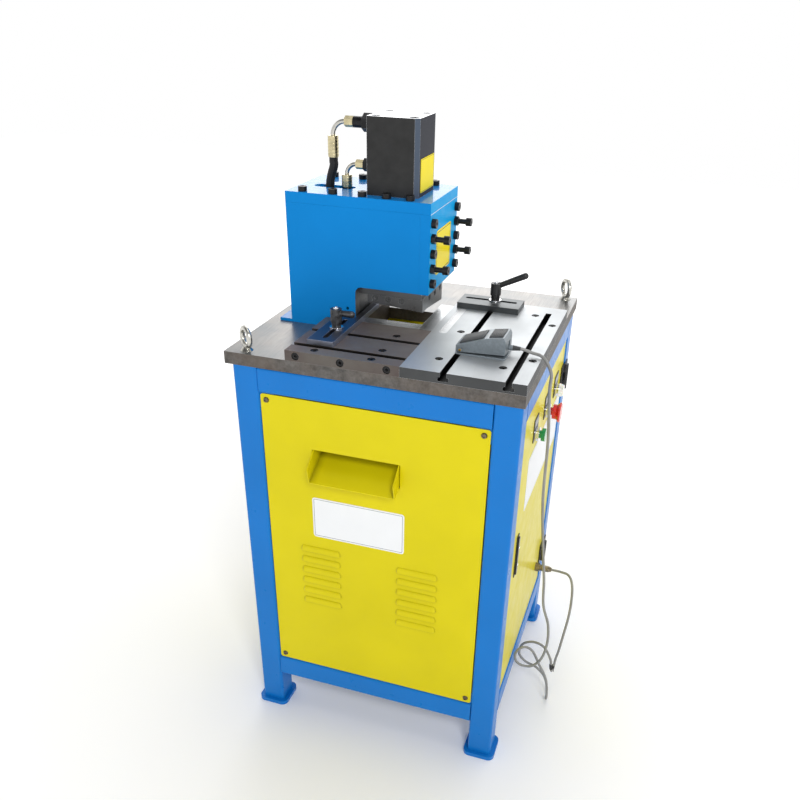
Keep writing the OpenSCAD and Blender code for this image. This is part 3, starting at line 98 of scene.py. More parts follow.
class NotcherSizes(bpy.types.PropertyGroup):
    """Sizes of the pieces that are added to the frame"""

    cord_radius: size("Cord Radius", "Radius of the foot switch's cord", 0.003)
    boot_length: size("Boot Length", "Length of the cord's strain relief", 0.014)
    tie_width: size("Tie Width", "Width of the tie round the hanging cord", 0.014)
    plate_thickness: size("Plate Thickness", "Thickness of the blank plates stuck on the panels", 0.0006)
    plate_corner: size("Plate Corner", "Corner radius of the blank plates", 0.006)
    pad_thickness: size("Pad Thickness", "Thickness of the rubber pads on the pedal", 0.0016)
    screw_radius: size("Screw Radius", "Radius of the small hinge and latch screws", 0.0032)


STEEL = linear(192, 195, 197)
ZINC = linear(206, 204, 196)


class NotcherColours(bpy.types.PropertyGroup):
    """Colours of the finishes"""

    frame_blue: colour("Frame Blue", "Tube frame", linear(10, 115, 196))
    head_blue: colour("Head Blue", "Head", linear(14, 128, 203))
    end_blue: colour("End Blue", "End plate and the head's right faces", linear(0, 160, 224))
    panel_yellow: colour("Panel Yellow", "Panels, chute and door", linear(216, 202, 10))
    unit_grey: colour("Unit Grey", "Power unit", (0.18, 0.20, 0.21))
    plate_white: colour("Plate White", "Blank plates on the panels", linear(236, 238, 240))
    white_line: colour("White Plate Line", "Border of the white plates", (0.35, 0.36, 0.37))
    plate_yellow: colour("Plate Yellow", "Blank plates on the head and cylinder", linear(244, 222, 18))
    yellow_line: colour("Yellow Plate Line", "Border of the yellow plates", (0.05, 0.05, 0.05))
    plate_silver: colour("Plate Silver", "Inserts of the legend plates", (0.40, 0.41, 0.42))
    silver_line: colour("Silver Plate Line", "Border of the legend inserts", (0.20, 0.20, 0.21))
    ground_steel: colour("Ground Steel", "Right table, blades and ram", STEEL)
    bolt_steel: colour("Bolt Steel", "Screws of the blades", tone(STEEL, 0.4))
    # The fence's blue cast is partly a painted reflection of the blue head, over the steel's own grey
    fence_steel: colour("Fence Steel", "Left fence", linear(108, 112, 124))
    stop_steel: colour("Stop Steel", "Right stop", linear(104, 107, 108))
    plate_steel: colour("Plate Steel", "Base plate", linear(124, 121, 118))
    table_brown: colour("Table Brown", "Oiled left table", linear(128, 122, 115))
    table_stain: colour("Table Stain", "Stains of the left table", linear(98, 74, 76))
    strip_white: colour("Strip White", "Scale strip", (0.84, 0.85, 0.86))
    black_oxide: colour("Black Oxide", "Blackened screws", (0.012, 0.012, 0.013))
    black_enamel: colour("Black Enamel", "Hinges, latch and right lever", (0.014, 0.014, 0.015))
    lever_grey: colour("Lever Grey", "Left lever", (0.07, 0.072, 0.076))
    cylinder_black: colour("Cylinder Black", "Cylinder block", (0.030, 0.030, 0.030))
    cast_grey: colour("Cast Grey", "Foot switch casting", linear(130, 140, 147))
    bright_zinc: colour("Bright Zinc", "Eye bolts and hose tubes", ZINC)
    sheet_zinc: colour("Sheet Zinc", "Floor tray", tone(ZINC, 0.8))
    warm_zinc: colour("Warm Zinc", "Passivated hose fittings", linear(218, 206, 166))
    dull_zinc: colour("Dull Zinc", "Panel screws", linear(128, 118, 98))
    chrome: colour("Chrome", "Clamp bolts, caps and button rings", (0.78, 0.78, 0.8))
    nickel: colour("Nickel", "Cord gland", linear(150, 138, 112))
    brass: colour("Brass", "Pins of the foot switch", linear(196, 158, 84))
    black_plastic: colour("Black Plastic", "Legend plates, latch plate and tie", (0.016, 0.016, 0.018))
    hose_rubber: colour("Hose Rubber", "Hoses", (0.011, 0.011, 0.012))
    pad_rubber: colour("Pad Rubber", "Pads of the pedal and the cord's boot", (0.055, 0.058, 0.060))
    cord_grey: colour("Cord Grey", "Cord", linear(142, 142, 140))
    # The pale line along the end plate's top edge takes this colour too
    pale_plastic: colour("Pale Plastic", "Electrics and sealing bead", (0.72, 0.73, 0.72))
    lens_white: colour("Lens White", "Pilot lamp", (0.82, 0.83, 0.81))
    button_red: colour("Button Red", "Mushroom stop button", linear(206, 34, 24))
    button_green: colour("Button Green", "Start button", linear(16, 150, 72))


# Finishes

# The range that holds most of a noise, and the one over which a face turns square on to an axis
NOISE = (0.3, 0.7)
SQUARE_ON = (0.6, 0.9)
# The turn between the rounded and the flat normal, from the start of an edge to its middle
EDGE_TURN = (0.985, 0.80)
EDGE_SAMPLES = 6
# Samples of the painted shade in hollows, and the occlusion below which that shade is darkest
PAINTED_SHADE_SAMPLES = 8
PAINTED_SHADE_START = 0.35
MIX_SHARE = 0
MIX_FIRST = 6
MIX_SECOND = 7
MIX_RESULT = 2
# How much finer a ground face's noise is along each axis
LINES_ALONG_X = (2.0, 90.0, 2.0)
LINES_ALONG_Y = (90.0, 2.0, 2.0)
LINES_LEVEL = (2.0, 2.0, 80.0)
PLATE_STREAKS = (60.0, 2.0, 2.0)
BARE_STEEL = (0.30, 0.30, 0.31)
RUST = (0.16, 0.125, 0.10)
OIL = (0.17, 0.20, 0.22)
INK = (0.05, 0.05, 0.055)
# Ticks of the scale strip in metres: pitch, width and reach from its left edge
SHORT_TICKS = (0.002, 0.00045, 0.005)
LONG_TICKS = (0.010, 0.0005, 0.009)


def put(tree, kind, inputs=None, **settings):
    """Adds a node, sets its options, and fills its inputs with values or links."""
    made = tree.nodes.new(kind)
    for key, value in settings.items():
        setattr(made, key, value)
    for key, value in (inputs or {}).items():
        if isinstance(value, bpy.types.NodeSocket):
            tree.links.new(value, made.inputs[key])
        else:
            made.inputs[key].default_value = value
    return made


def feed(shader, socket, value):
    """Links a value to a socket of the shader."""
    shader.id_data.links.new(value, shader.inputs[socket])


def new_finish(name, metallic, rough, **sockets):
    """A material with its shader's constant sockets set, its nodes, and its object coordinates."""
    made = bpy.data.materials.new(name)
    made.use_nodes = True
    tree = made.node_tree
    shader = tree.nodes["Principled BSDF"]
    shader.inputs["Metallic"].default_value = metallic
    shader.inputs["Roughness"].default_value = rough
    for key, value in sockets.items():
        shader.inputs[key.replace("_", " ")].default_value = value
    return made, tree, shader, put(tree, "ShaderNodeTexCoord").outputs["Object"]


def axes(tree, vector):
    """The three parts of a vector."""
    return put(tree, "ShaderNodeSeparateXYZ", {"Vector": vector}).outputs


def grain(tree, where, scale, detail, stretch=None, blur=0.5):
    """Noise at a scale per metre, made finer along chosen axes."""
    if stretch:
        where = put(tree, "ShaderNodeMapping", {"Vector": where, "Scale": stretch}).outputs[0]
    inputs = {"Vector": where, "Scale": scale, "Detail": detail, "Roughness": blur}
    return put(tree, "ShaderNodeTexNoise", inputs).outputs["Fac"]


def spread(tree, value, low, high, to_low=0.0, to_high=1.0):
    """Maps a range of values onto another."""
    inputs = {"Value": value, "From Min": low, "From Max": high, "To Min": to_low, "To Max": to_high}
    return put(tree, "ShaderNodeMapRange", inputs).outputs["Result"]


def clouds(tree, where, scale, detail, blur=0.5, span=NOISE):
    """Noise spread over the whole range from 0 to 1."""
    return spread(tree, grain(tree, where, scale, detail, blur=blur), *span)


def blend(tree, share, first, second, mode="MIX"):
    """Mixes two colours."""
    inputs = {MIX_SHARE: share}
    for key, value in ((MIX_FIRST, first), (MIX_SECOND, second)):
        inputs[key] = value if isinstance(value, bpy.types.NodeSocket) else (*value[:3], 1)
    return put(tree, "ShaderNodeMix", inputs, data_type="RGBA", blend_type=mode).outputs[MIX_RESULT]


def maths(tree, operation, first, second=0.0):
    """One sum of two values."""
    return put(tree, "ShaderNodeMath", {0: first, 1: second}, operation=operation).outputs[0]


def times(tree, first, second):
    """The product of two values."""
    return maths(tree, "MULTIPLY", first, second)


def soft_edges(tree, radius):
    """The normal rounded over sharp edges, and a mask of those edges."""
    rounded = put(tree, "ShaderNodeBevel", {"Radius": radius}, samples=EDGE_SAMPLES).outputs["Normal"]
    flat = put(tree, "ShaderNodeNewGeometry").outputs["Normal"]
    turn = put(tree, "ShaderNodeVectorMath", {0: rounded, 1: flat}, operation="DOT_PRODUCT")
    return rounded, spread(tree, turn.outputs["Value"], *EDGE_TURN)


def facing(tree, axis):
    """How far the surface faces along one object axis, 1 where it does."""
    return axes(tree, put(tree, "ShaderNodeTexCoord").outputs["Normal"])[axis]


def painted_hollow_shade(tree, distance, dark=0.04, full=0.85):
    """Painted shade: dark in the slots, holes and creases that a piece has of its own, 1 on its open faces.
    """
    inputs = {"Distance": distance}
    shade = put(tree, "ShaderNodeAmbientOcclusion", inputs, samples=PAINTED_SHADE_SAMPLES, only_local=True)
    return spread(tree, shade.outputs["AO"], PAINTED_SHADE_START, full, dark, 1.0)


def relief(shader, height, strength, depth, rounded=None, sunk=False):
    """Bump on the surface, on top of a rounded normal where there is one."""
    inputs = {"Height": height, "Strength": strength, "Distance": depth}
    if rounded is not None:
        inputs["Normal"] = rounded
    feed(shader, "Normal", put(shader.id_data, "ShaderNodeBump", inputs, invert=sunk).outputs["Normal"])


def throat(tree, where):
    """1 on the head's bare faces round the ram, 0 on its painted ones."""
    place = axes(tree, where)
    ahead = spread(tree, place["X"], THROAT_X - 0.004, THROAT_X - 0.003)
    below = spread(tree, place["Z"], THROAT_Z + 0.0015, THROAT_Z + 0.0005)
    across = spread(tree, maths(tree, "ABSOLUTE", facing(tree, "Y")), 0.7, 0.5)
    return times(tree, times(tree, ahead, below), across)


def sprayed_paint(name, base, gloss=0.33, edge=0.0012, lacquer=0.35, shine=0.5, end=None):
    """Sprayed enamel: faint clouds of tone, orange peel, paint thinned along the edges, and painted shade
    in its creases.

    With an end colour, the +X faces have that tone, the tops are lacquered and the throat is bare steel.
    """
    made, tree, shader, where = new_finish(
        name, 0.0, gloss, Coat_Weight=lacquer, Coat_Roughness=0.06, Specular_IOR_Level=shine)
    rounded, rim = soft_edges(tree, edge)
    tint = blend(tree, clouds(tree, where, 7.0, 4.0), tone(base, 0.96), tone(base, 1.04))
    if end:
        tint = blend(tree, spread(tree, facing(tree, "X"), *SQUARE_ON), tint, end)
        feed(shader, "Coat Weight", spread(tree, facing(tree, "Z"), *SQUARE_ON, 0.0, 0.65))
        bare = throat(tree, where)
        tint = blend(tree, bare, tint, BARE_STEEL)
        feed(shader, "Metallic", bare)
    wear = spread(tree, grain(tree, where, 90.0, 5.0), 0.45, 0.7, 0.0, 0.55)
    tint = blend(tree, times(tree, rim, wear), tint, tone(base, 0.62))
    # Painted shade: the paint is darkened in its own creases, under lips and round its openings
    shade = painted_hollow_shade(tree, 0.016, dark=0.45, full=1.0)
    feed(shader, "Base Color", blend(tree, 1.0, tint, shade, "MULTIPLY"))
    sheen = spread(tree, grain(tree, where, 40.0, 5.0), *NOISE, gloss - 0.06, gloss + 0.08)
    feed(shader, "Roughness", sheen)
    waves = times(tree, grain(tree, where, 60.0, 2.0), 1.5)
    peel = maths(tree, "ADD", grain(tree, where, 420.0, 2.0), waves)
    relief(shader, peel, 0.10, 0.0006, rounded)
    return made


def ground_steel(name, base, rough, lines=LINES_ALONG_X, stain=0.4, streak=0.1, edge=0.0006, side=1.0,
                 glint=1.35, metal=1.0, patch=None, top=None):
    """Ground steel: fine lines one way, cloudy stains, painted shade in its slots, painted light and shade
    on its sides, and edges lightened as bright bare metal with a painted highlight.

    Faces that look up from below the top get painted shade.
    """
    made, tree, shader, where = new_finish(name, metal, rough)
    rounded, rim = soft_edges(tree, edge)
    marks = grain(tree, where, 14.0, 6.0, lines, blur=0.7)
    stains = clouds(tree, where, 9.0, 6.0, blur=0.62, span=(0.32, 0.68))
    tint = blend(tree, times(tree, stains, stain), base, patch or tone(base, 0.55))
    tint = blend(tree, spread(tree, marks, 0.35, 0.7, 0.0, 0.35), tint, tone(base, 1.25))
    up = facing(tree, "Z")
    # Painted light and shade: the faces that don't look up are scaled by side, darker below 1 and lighter
    # above it
    tint = blend(tree, 1.0, tint, spread(tree, up, *SQUARE_ON, side, 1.0), "MULTIPLY")
    # The edges are lightened by glint: partly the bright bare metal of broken edges, partly a painted
    # highlight
    tint = blend(tree, rim, tint, tone(base, glint))
    # Painted shade: faces that look up from below the top, such as slot and counterbore floors, are
    # darkened
    if top:
        raised = spread(tree, axes(tree, where)["Z"], top - 0.002, top - 0.001, 0.06, 1.0)
        shade = maths(tree, "MAXIMUM", raised, spread(tree, up, *SQUARE_ON, 1.0, 0.0))
        tint = blend(tree, 1.0, tint, shade, "MULTIPLY")
    # Painted shade in the piece's own slots and holes
    feed(shader, "Base Color", blend(tree, 1.0, tint, painted_hollow_shade(tree, 0.05), "MULTIPLY"))
    sheen = spread(tree, marks, *NOISE, rough - 0.07, rough + 0.1)
    feed(shader, "Roughness", maths(tree, "ADD", sheen, times(tree, stains, 0.08)))
    relief(shader, marks, streak, 0.0004, rounded)
    return made


def rolled_plate(name, base):
    """Thick plate: a machined top with cutter streaks and painted shade in its slots, and rough mottled
    flame-cut edges.
    """
    made, tree, shader, where = new_finish(name, 0.85, 0.45)
    rounded, rim = soft_edges(tree, 0.0012)
    top = spread(tree, facing(tree, "Z"), *SQUARE_ON)
    streaks = grain(tree, where, 10.0, 6.0, PLATE_STREAKS, blur=0.7)
    mottle = clouds(tree, where, 55.0, 8.0, blur=0.75, span=(0.35, 0.66))
    blots = times(tree, clouds(tree, where, 13.0, 5.0, span=(0.4, 0.68)), 0.5)
    side = blend(tree, mottle, tone(base, 0.42), tone(base, 0.95))
    side = blend(tree, blots, side, RUST)
    face = blend(tree, spread(tree, streaks, *NOISE), tone(base, 1.15), tone(base, 1.9))
    face = blend(tree, blots, face, OIL)
    # Painted shade in the slots of the machined top
    face = blend(tree, 1.0, face, painted_hollow_shade(tree, 0.02), "MULTIPLY")
    tint = blend(tree, top, side, face)
    tint = blend(tree, times(tree, rim, 0.7), tint, tone(base, 1.7))
    feed(shader, "Base Color", tint)
    feed(shader, "Roughness", spread(tree, top, 0.0, 1.0, 0.58, 0.36))
    pits = times(tree, mottle, maths(tree, "SUBTRACT", 1.0, top))
    height = maths(tree, "ADD", pits, times(tree, streaks, 0.4))
    relief(shader, height, 0.35, 0.0006, rounded)
    return made


def blackened_steel(name, base, rough=0.36, metallic=0.55, rub=0.25):
    """Oil-blackened or enamelled steel, rubbed grey on its edges."""
    made, tree, shader, where = new_finish(name, metallic, rough)
    rounded, rim = soft_edges(tree, 0.0007)
    drift = clouds(tree, where, 120.0, 5.0)
    tint = blend(tree, drift, tone(base, 0.7), tone(base, 1.6))
    feed(shader, "Base Color", blend(tree, times(tree, rim, rub), tint, BARE_STEEL))
    feed(shader, "Roughness", spread(tree, drift, 0.0, 1.0, rough - 0.08, rough + 0.1))
    relief(shader, grain(tree, where, 700.0, 3.0), 0.08, 0.0003, rounded)
    return made


def plated_metal(name, base, rough, fleck=60.0, shift=0.8):
    """Plated or polished metal with a slight drift of tone."""
    made, tree, shader, where = new_finish(name, 1.0, rough)
    rounded, rim = soft_edges(tree, 0.0007)
    drift = clouds(tree, where, fleck, 5.0)
    tint = blend(tree, drift, tone(base, shift), tone(base, 1.08))
    feed(shader, "Base Color", blend(tree, times(tree, rim, 0.5), tint, tone(base, 1.3)))
    feed(shader, "Roughness", spread(tree, drift, 0.0, 1.0, max(0.04, rough - 0.06), rough + 0.09))
    relief(shader, grain(tree, where, fleck * 9, 3.0), 0.05, 0.0003, rounded)
    return made


def moulded_plastic(name, base, rough=0.38, texture=900.0, depth=0.08, **sockets):
    """Moulded plastic or rubber with a fine mould texture."""
    made, tree, shader, where = new_finish(name, 0.0, rough, **sockets)
    rounded, rim = soft_edges(tree, 0.0006)
    drift = clouds(tree, where, 50.0, 4.0)
    tint = blend(tree, drift, tone(base, 0.9), tone(base, 1.08))
    feed(shader, "Base Color", blend(tree, times(tree, rim, 0.3), tint, tone(base, 1.6)))
    feed(shader, "Roughness", spread(tree, drift, 0.0, 1.0, rough - 0.05, rough + 0.06))
    relief(shader, grain(tree, where, texture, 2.0), depth, 0.0003, rounded)
    return made


def hammered_casting(name, base):
    """Cast housing in hammered enamel."""
    made, tree, shader, where = new_finish(name, 0.35, 0.36, Coat_Weight=0.3, Coat_Roughness=0.15)
    rounded, rim = soft_edges(tree, 0.0022)
    inputs = {"Vector": where, "Scale": 260.0, "Smoothness": 1.0}
    cells = put(tree, "ShaderNodeTexVoronoi", inputs, feature="SMOOTH_F1").outputs["Distance"]
    tint = blend(tree, clouds(tree, where, 45.0, 4.0), tone(base, 0.85), tone(base, 1.1))
    tint = blend(tree, spread(tree, cells, 0.1, 0.6, 0.0, 0.35), tint, tone(base, 0.6))
    feed(shader, "Base Color", blend(tree, times(tree, rim, 0.5), tint, tone(base, 1.6)))
    relief(shader, cells, 0.12, 0.0012, rounded)
    return made


def cylinder_black(name, base):
    """Blackened cylinder block with a polished top, bright broken edges, and painted shade on its +X faces.
    """
    # Painted shade: the faces that look along +X are given a darker, bluer black
    painted_side_shade = (0.012, 0.014, 0.024)
    cut_corner = (0.075, 0.095, 0.13)
    dull_polish = (0.55, 0.56, 0.58)
    bright_polish = (0.86, 0.87, 0.88)
    made, tree, shader, where = new_finish(name, 0.0, 0.34, Specular_IOR_Level=0.06)
    rounded, rim = soft_edges(tree, 0.0016)
    sideways = facing(tree, "X")
    leaning = spread(tree, sideways, 0.5, 0.6)
    chamfer = times(tree, leaning, spread(tree, sideways, 0.9, 0.8))
    marks = grain(tree, where, 40.0, 5.0)
    skin = blend(tree, spread(tree, marks, *NOISE), base, tone(base, 4 / 3))
    skin = blend(tree, spread(tree, sideways, 0.85, 0.95), skin, painted_side_shade)
    skin = blend(tree, chamfer, skin, cut_corner)
    top = spread(tree, facing(tree, "Z"), *SQUARE_ON)
    bright = maths(tree, "MAXIMUM", top, times(tree, rim, 0.8))
    polish = blend(tree, clouds(tree, where, 25.0, 5.0), dull_polish, bright_polish)
    feed(shader, "Base Color", blend(tree, bright, skin, polish))
    feed(shader, "Roughness", spread(tree, bright, 0.0, 1.0, 0.36, 0.2))
    feed(shader, "Metallic", bright)
    relief(shader, marks, 0.05, 0.0004, rounded)
    return made


def blank_plate(name, base, line):
    """Printed blank plate: a satin field with a thin border line that follows its rim."""
    made, tree, shader, where = new_finish(name, 0.0, 0.3, Specular_IOR_Level=0.06)
    border = put(tree, "ShaderNodeAttribute", attribute_name="border").outputs["Fac"]
    drift = clouds(tree, where, 30.0, 3.0)
    field = blend(tree, drift, tone(base, 0.99), tone(base, 1.005))
    feed(shader, "Base Color", blend(tree, border, field, line))
    feed(shader, "Roughness", spread(tree, drift, 0.0, 1.0, 0.30, 0.34))
    relief(shader, grain(tree, where, 300.0, 2.0), 0.03, 0.0003)
    return made


def ruled_strip(name, base):
    """Satin scale strip with plain engraved ticks every 2 mm and longer ones every 10 mm."""
    dull = (0.70, 0.71, 0.72)
    made, tree, shader, where = new_finish(name, 0.15, 0.32)
    place = axes(tree, where)

    def ticks(pitch, width, reach):
        share = maths(tree, "FRACT", times(tree, place["Y"], 1 / pitch))
        mark = maths(tree, "LESS_THAN", share, width / pitch)
        return times(tree, mark, maths(tree, "LESS_THAN", place["X"], STRIP_LEFT + reach))

    marks = maths(tree, "MAXIMUM", ticks(*SHORT_TICKS), ticks(*LONG_TICKS))
    drift = clouds(tree, where, 60.0, 4.0)
    field = blend(tree, drift, dull, base)
    feed(shader, "Base Color", blend(tree, times(tree, marks, 0.7), field, INK))
    feed(shader, "Roughness", spread(tree, drift, 0.0, 1.0, 0.28, 0.4))
    relief(shader, marks, 0.3, 0.0002, sunk=True)
    return made


# Each finish's maker, its colour's name, and its settings, where a word is a colour's name too
RECIPES = {
    "frame_paint": (sprayed_paint, "frame_blue", dict(lacquer=0.06, shine=0.2)),
    "head_paint": (sprayed_paint, "head_blue", dict(gloss=0.4, lacquer=0.0, shine=0.06, end="end_blue")),
    "panel_paint": (sprayed_paint, "panel_yellow", dict(gloss=0.36, edge=0.0009, lacquer=0.14, shine=0.12)),
    "unit_paint": (sprayed_paint, "unit_grey", dict(gloss=0.42)),
    # In the ground_steel settings, side below 1 paints shade on the sides of the tables, blades, ram and
    # stop, side above 1 paints light on the fence's sides, and glint is the painted highlight on the edges
    "table_bright": (ground_steel, "ground_steel",
                     dict(rough=0.46, lines=LINES_ALONG_Y, side=0.15, stain=0.3, metal=0.9, top=TABLE_TOP)),
    "table_dark": (ground_steel, "table_brown",
                   dict(rough=0.46, stain=0.75, side=0.55, metal=0.55, patch="table_stain", top=TABLE_TOP)),
    "blade_steel": (ground_steel, "ground_steel", dict(rough=0.26, streak=0.06, side=0.45)),
    "ram_steel": (ground_steel, "ground_steel", dict(rough=0.3, lines=LINES_LEVEL, side=0.35)),
    "fence_steel": (ground_steel, "fence_steel", dict(rough=0.36, edge=0.0012, side=2.6, glint=4.0)),
    "stop_steel": (ground_steel, "stop_steel", dict(rough=0.36, edge=0.0012, side=0.7)),
    "base_plate": (rolled_plate, "plate_steel", {}),
    "black_oxide": (blackened_steel, "black_oxide", {}),
    "dark_lever": (blackened_steel, "lever_grey", dict(rough=0.32, metallic=0.8, rub=0.4)),
    "black_enamel": (blackened_steel, "black_enamel", dict(rough=0.3, metallic=0.0, rub=0.1)),
    "cylinder": (cylinder_black, "cylinder_black", {}),
    "blade_bolts": (plated_metal, "bolt_steel", dict(rough=0.34)),
    "zinc": (plated_metal, "bright_zinc", dict(rough=0.26)),
    "warm_zinc": (plated_metal, "warm_zinc", dict(rough=0.28, shift=0.7)),
    "chrome": (plated_metal, "chrome", dict(rough=0.12, shift=0.92)),
    "brass": (plated_metal, "brass", dict(rough=0.27, shift=0.75)),
    "nickel": (plated_metal, "nickel", dict(rough=0.24, shift=0.6)),
    "dull_zinc": (plated_metal, "dull_zinc", dict(rough=0.34, fleck=220.0, shift=0.6)),
    "sheet_zinc": (plated_metal, "sheet_zinc", dict(rough=0.38, fleck=18.0)),
    "black_plastic": (moulded_plastic, "black_plastic", {}),
    "hose_rubber": (moulded_plastic, "hose_rubber",
                    dict(rough=0.46, texture=380.0, depth=0.25, Specular_IOR_Level=0.3)),
    "pad_rubber": (moulded_plastic, "pad_rubber", dict(rough=0.5, texture=1200.0, depth=0.2)),
    "cord_jacket": (moulded_plastic, "cord_grey", dict(rough=0.42, texture=700.0, depth=0.1)),
    "pale_plastic": (moulded_plastic, "pale_plastic", dict(rough=0.3, Coat_Weight=0.4)),
    "lamp_lens": (moulded_plastic, "lens_white",
                  dict(rough=0.16, Coat_Weight=0.6, Subsurface_Weight=0.3, Subsurface_Scale=0.004)),
    "button_red": (moulded_plastic, "button_red", dict(rough=0.27, Coat_Weight=0.5)),
    "button_green": (moulded_plastic, "button_green", dict(rough=0.27, Coat_Weight=0.5)),
    "switch_casting": (hammered_casting, "cast_grey", {}),
    "scale_strip": (ruled_strip, "strip_white", {}),
    "white_plate": (blank_plate, "plate_white", dict(line="white_line")),
    "yellow_plate": (blank_plate, "plate_yellow", dict(line="yellow_line")),
    "silver_plate": (blank_plate, "plate_silver", dict(line="silver_line")),
}
FINISHES = {}


def finish(name):
    """A finish by name, made once from the scene's colours."""
    if name not in FINISHES:
        colours = bpy.context.scene.notcher_colours
        maker, base, settings = RECIPES[name]
        values = {key: getattr(colours, value) if isinstance(value, str) else value
                  for key, value in settings.items()}
        FINISHES[name] = maker(name, getattr(colours, base), **values)
    return FINISHES[name]


def coat(piece, name):
    """Gives a piece one finish."""
    piece.data.materials.clear()
    piece.data.materials.append(finish(name))


# Modelling helpers

# The least share of a direction that a normal or an edge has when it runs along it
ALIGNED = 0.9
TURNED_ANGLE = 38


def clear():
    """Leaves edit mode and deselects everything."""
    if bpy.context.object and bpy.context.object.mode != "OBJECT":
        bpy.ops.object.mode_set(mode="OBJECT")
    bpy.ops.object.select_all(action="DESELECT")


def choose(*pieces):
    """Selects these pieces alone and makes the last one active."""
    clear()
    for piece in pieces:
        piece.select_set(True)
    bpy.context.view_layer.objects.active = pieces[-1]


def join(*pieces):
    """Joins the pieces into the last one."""
    choose(*pieces)
    bpy.ops.object.join()


def pick(piece, kind, test):
    """Selects the edges or faces of the piece in edit mode that pass a test."""
    bpy.ops.mesh.select_mode(type=kind)
    bpy.ops.mesh.select_all(action="DESELECT")
    grid = bmesh.from_edit_mesh(piece.data)
    grid.normal_update()
    for part in {"EDGE": grid.edges, "FACE": grid.faces}[kind]:
        if test(part):
            part.select_set(True)
    bmesh.update_edit_mesh(piece.data)


def reach(edge, axis):
    """How far an edge runs along an axis."""
    return abs(edge.verts[0].co[axis] - edge.verts[1].co[axis])


def block(name, low, high):
    """A box between two corners, with its place in its mesh."""
    clear()
    bpy.ops.mesh.primitive_cube_add(size=1, location=(low + high) / 2)
    piece = bpy.context.object
    piece.name = piece.data.name = name
    piece.scale = high - low
    bpy.ops.object.transform_apply()
    return piece


def round_edges(piece, width, segments=2, angle=35):
    """Bevels the sharp edges of a piece and smooths its shading."""
    choose(piece)
    bevel = piece.modifiers.new("edges", "BEVEL")
    bevel.width = width
    bevel.segments = segments
    bevel.limit_method = "ANGLE"
    bevel.angle_limit = math.radians(angle)
    bpy.ops.object.modifier_apply(modifier=bevel.name)
    bpy.ops.object.shade_smooth_by_angle(angle=math.radians(angle))


def aim(piece, place, along):
    """Turns a piece from +Z to a direction, moves it to its place and applies both."""
    choose(piece)
    piece.rotation_mode = "QUATERNION"
    piece.rotation_quaternion = Vector((0, 0, 1)).rotation_difference(Vector(along).normalized())
    piece.location = place
    bpy.ops.object.transform_apply()


def turned(name, rings, place, along, sides=28):
    """A round stepped piece: a disc drawn up through rings of height and radius, then aimed and placed."""
    clear()
    bpy.ops.mesh.primitive_circle_add(vertices=sides, radius=rings[0][1], fill_type="NGON")
    piece = bpy.context.object
    piece.name = piece.data.name = name
    bpy.ops.object.mode_set(mode="EDIT")
    bpy.ops.mesh.select_all(action="SELECT")
    for (low, thin), (high, wide) in zip(rings, rings[1:]):
        bpy.ops.mesh.extrude_region_move(TRANSFORM_OT_translate={"value": (0, 0, high - low)})
        centre = (0, 0, high - rings[0][0])
        bpy.ops.transform.resize(value=(wide / thin, wide / thin, 1), center_override=centre)
    bpy.ops.mesh.select_all(action="SELECT")
    bpy.ops.mesh.normals_make_consistent(inside=False)
    bpy.ops.object.mode_set(mode="OBJECT")
    bpy.ops.object.shade_smooth_by_angle(angle=math.radians(TURNED_ANGLE))
    aim(piece, place, along)
    return piece


def copies(piece, rises):
    """Joins the piece with copies of itself, each raised by some millimetres."""
    made = []
    for rise in rises:
        choose(piece)
        bpy.ops.object.duplicate(linked=False)
        twin = bpy.context.object
        twin.location = (0, 0, rise * MM)
        bpy.ops.object.transform_apply()
        made.append(twin)
    join(*made, piece)


def settle(piece, body, look):
    """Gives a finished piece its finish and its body."""
    coat(piece, look)
    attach(piece, body)


def sticker(name, low, high, out, corner, rim, body, look):
    """A blank plate: a thin box with round corners and an inset border, on a face that looks along out."""
    out = Vector(out)
    axis = max(range(3), key=lambda index: abs(out[index]))
    depth = (high - low)[axis]
    piece = block(name, low, high)

    def front(face):
        return face.normal.dot(out) > ALIGNED

    bpy.ops.object.mode_set(mode="EDIT")
    pick(piece, "EDGE", lambda edge: reach(edge, axis) > ALIGNED * depth)
    bpy.ops.mesh.bevel(offset=corner, segments=6, affect="EDGES")
    for width in (rim, rim * BORDER_LINE):
        grid = bmesh.from_edit_mesh(piece.data)
        grid.normal_update()
        widest = max(face.calc_area() for face in grid.faces if front(face))
        pick(piece, "FACE", lambda face: front(face) and face.calc_area() == widest)
        bpy.ops.mesh.inset(thickness=width)
    bpy.ops.object.mode_set(mode="OBJECT")
    middle, *others = sorted(filter(front, piece.data.polygons), key=lambda face: -face.area)
    inner_edges = {tuple(sorted(key)) for key in middle.edge_keys}
    border = piece.data.attributes.new("border", "FLOAT", "FACE")
    for face in others:
        if any(tuple(sorted(key)) in inner_edges for key in face.edge_keys):
            border.data[face.index].value = 1.0
    round_edges(piece, depth * PLATE_EDGE, segments=1, angle=60)
    settle(piece, body, look)


def smooth_route(points, steps):
    """A smooth line through the points, as the part's own sweep draws it."""
    line = [2 * points[0] - points[1], *points, 2 * points[-1] - points[-2]]
    out = []
    for before, here, there, after in zip(line, line[1:], line[2:], line[3:]):
        for step in range(steps):
            share = step / steps
            straight = 2 * here + (there - before) * share
            bend = (2 * before - 5 * here + 4 * there - after) * share * share
            twist = (3 * here - before - 3 * there + after) * share ** 3
            out.append((straight + bend + twist) / 2)
    return out + [points[-1]]


# The operators, each after the values it uses: millimetres for at() and copies(), and otherwise metres

CAMERA_PLACE = (0.47906, -1.55254, 1.46949)
CAMERA_DEGREES = (58.981, -1.028, 18.541)
CAMERA_SENSOR = 36
CAMERA_LENS = 37.197
CAMERA_SHIFT_X = -0.01087
CAMERA_SHIFT_Y = 0.11339
CAMERA_NEAR = 0.02
CAMERA_FAR = 60


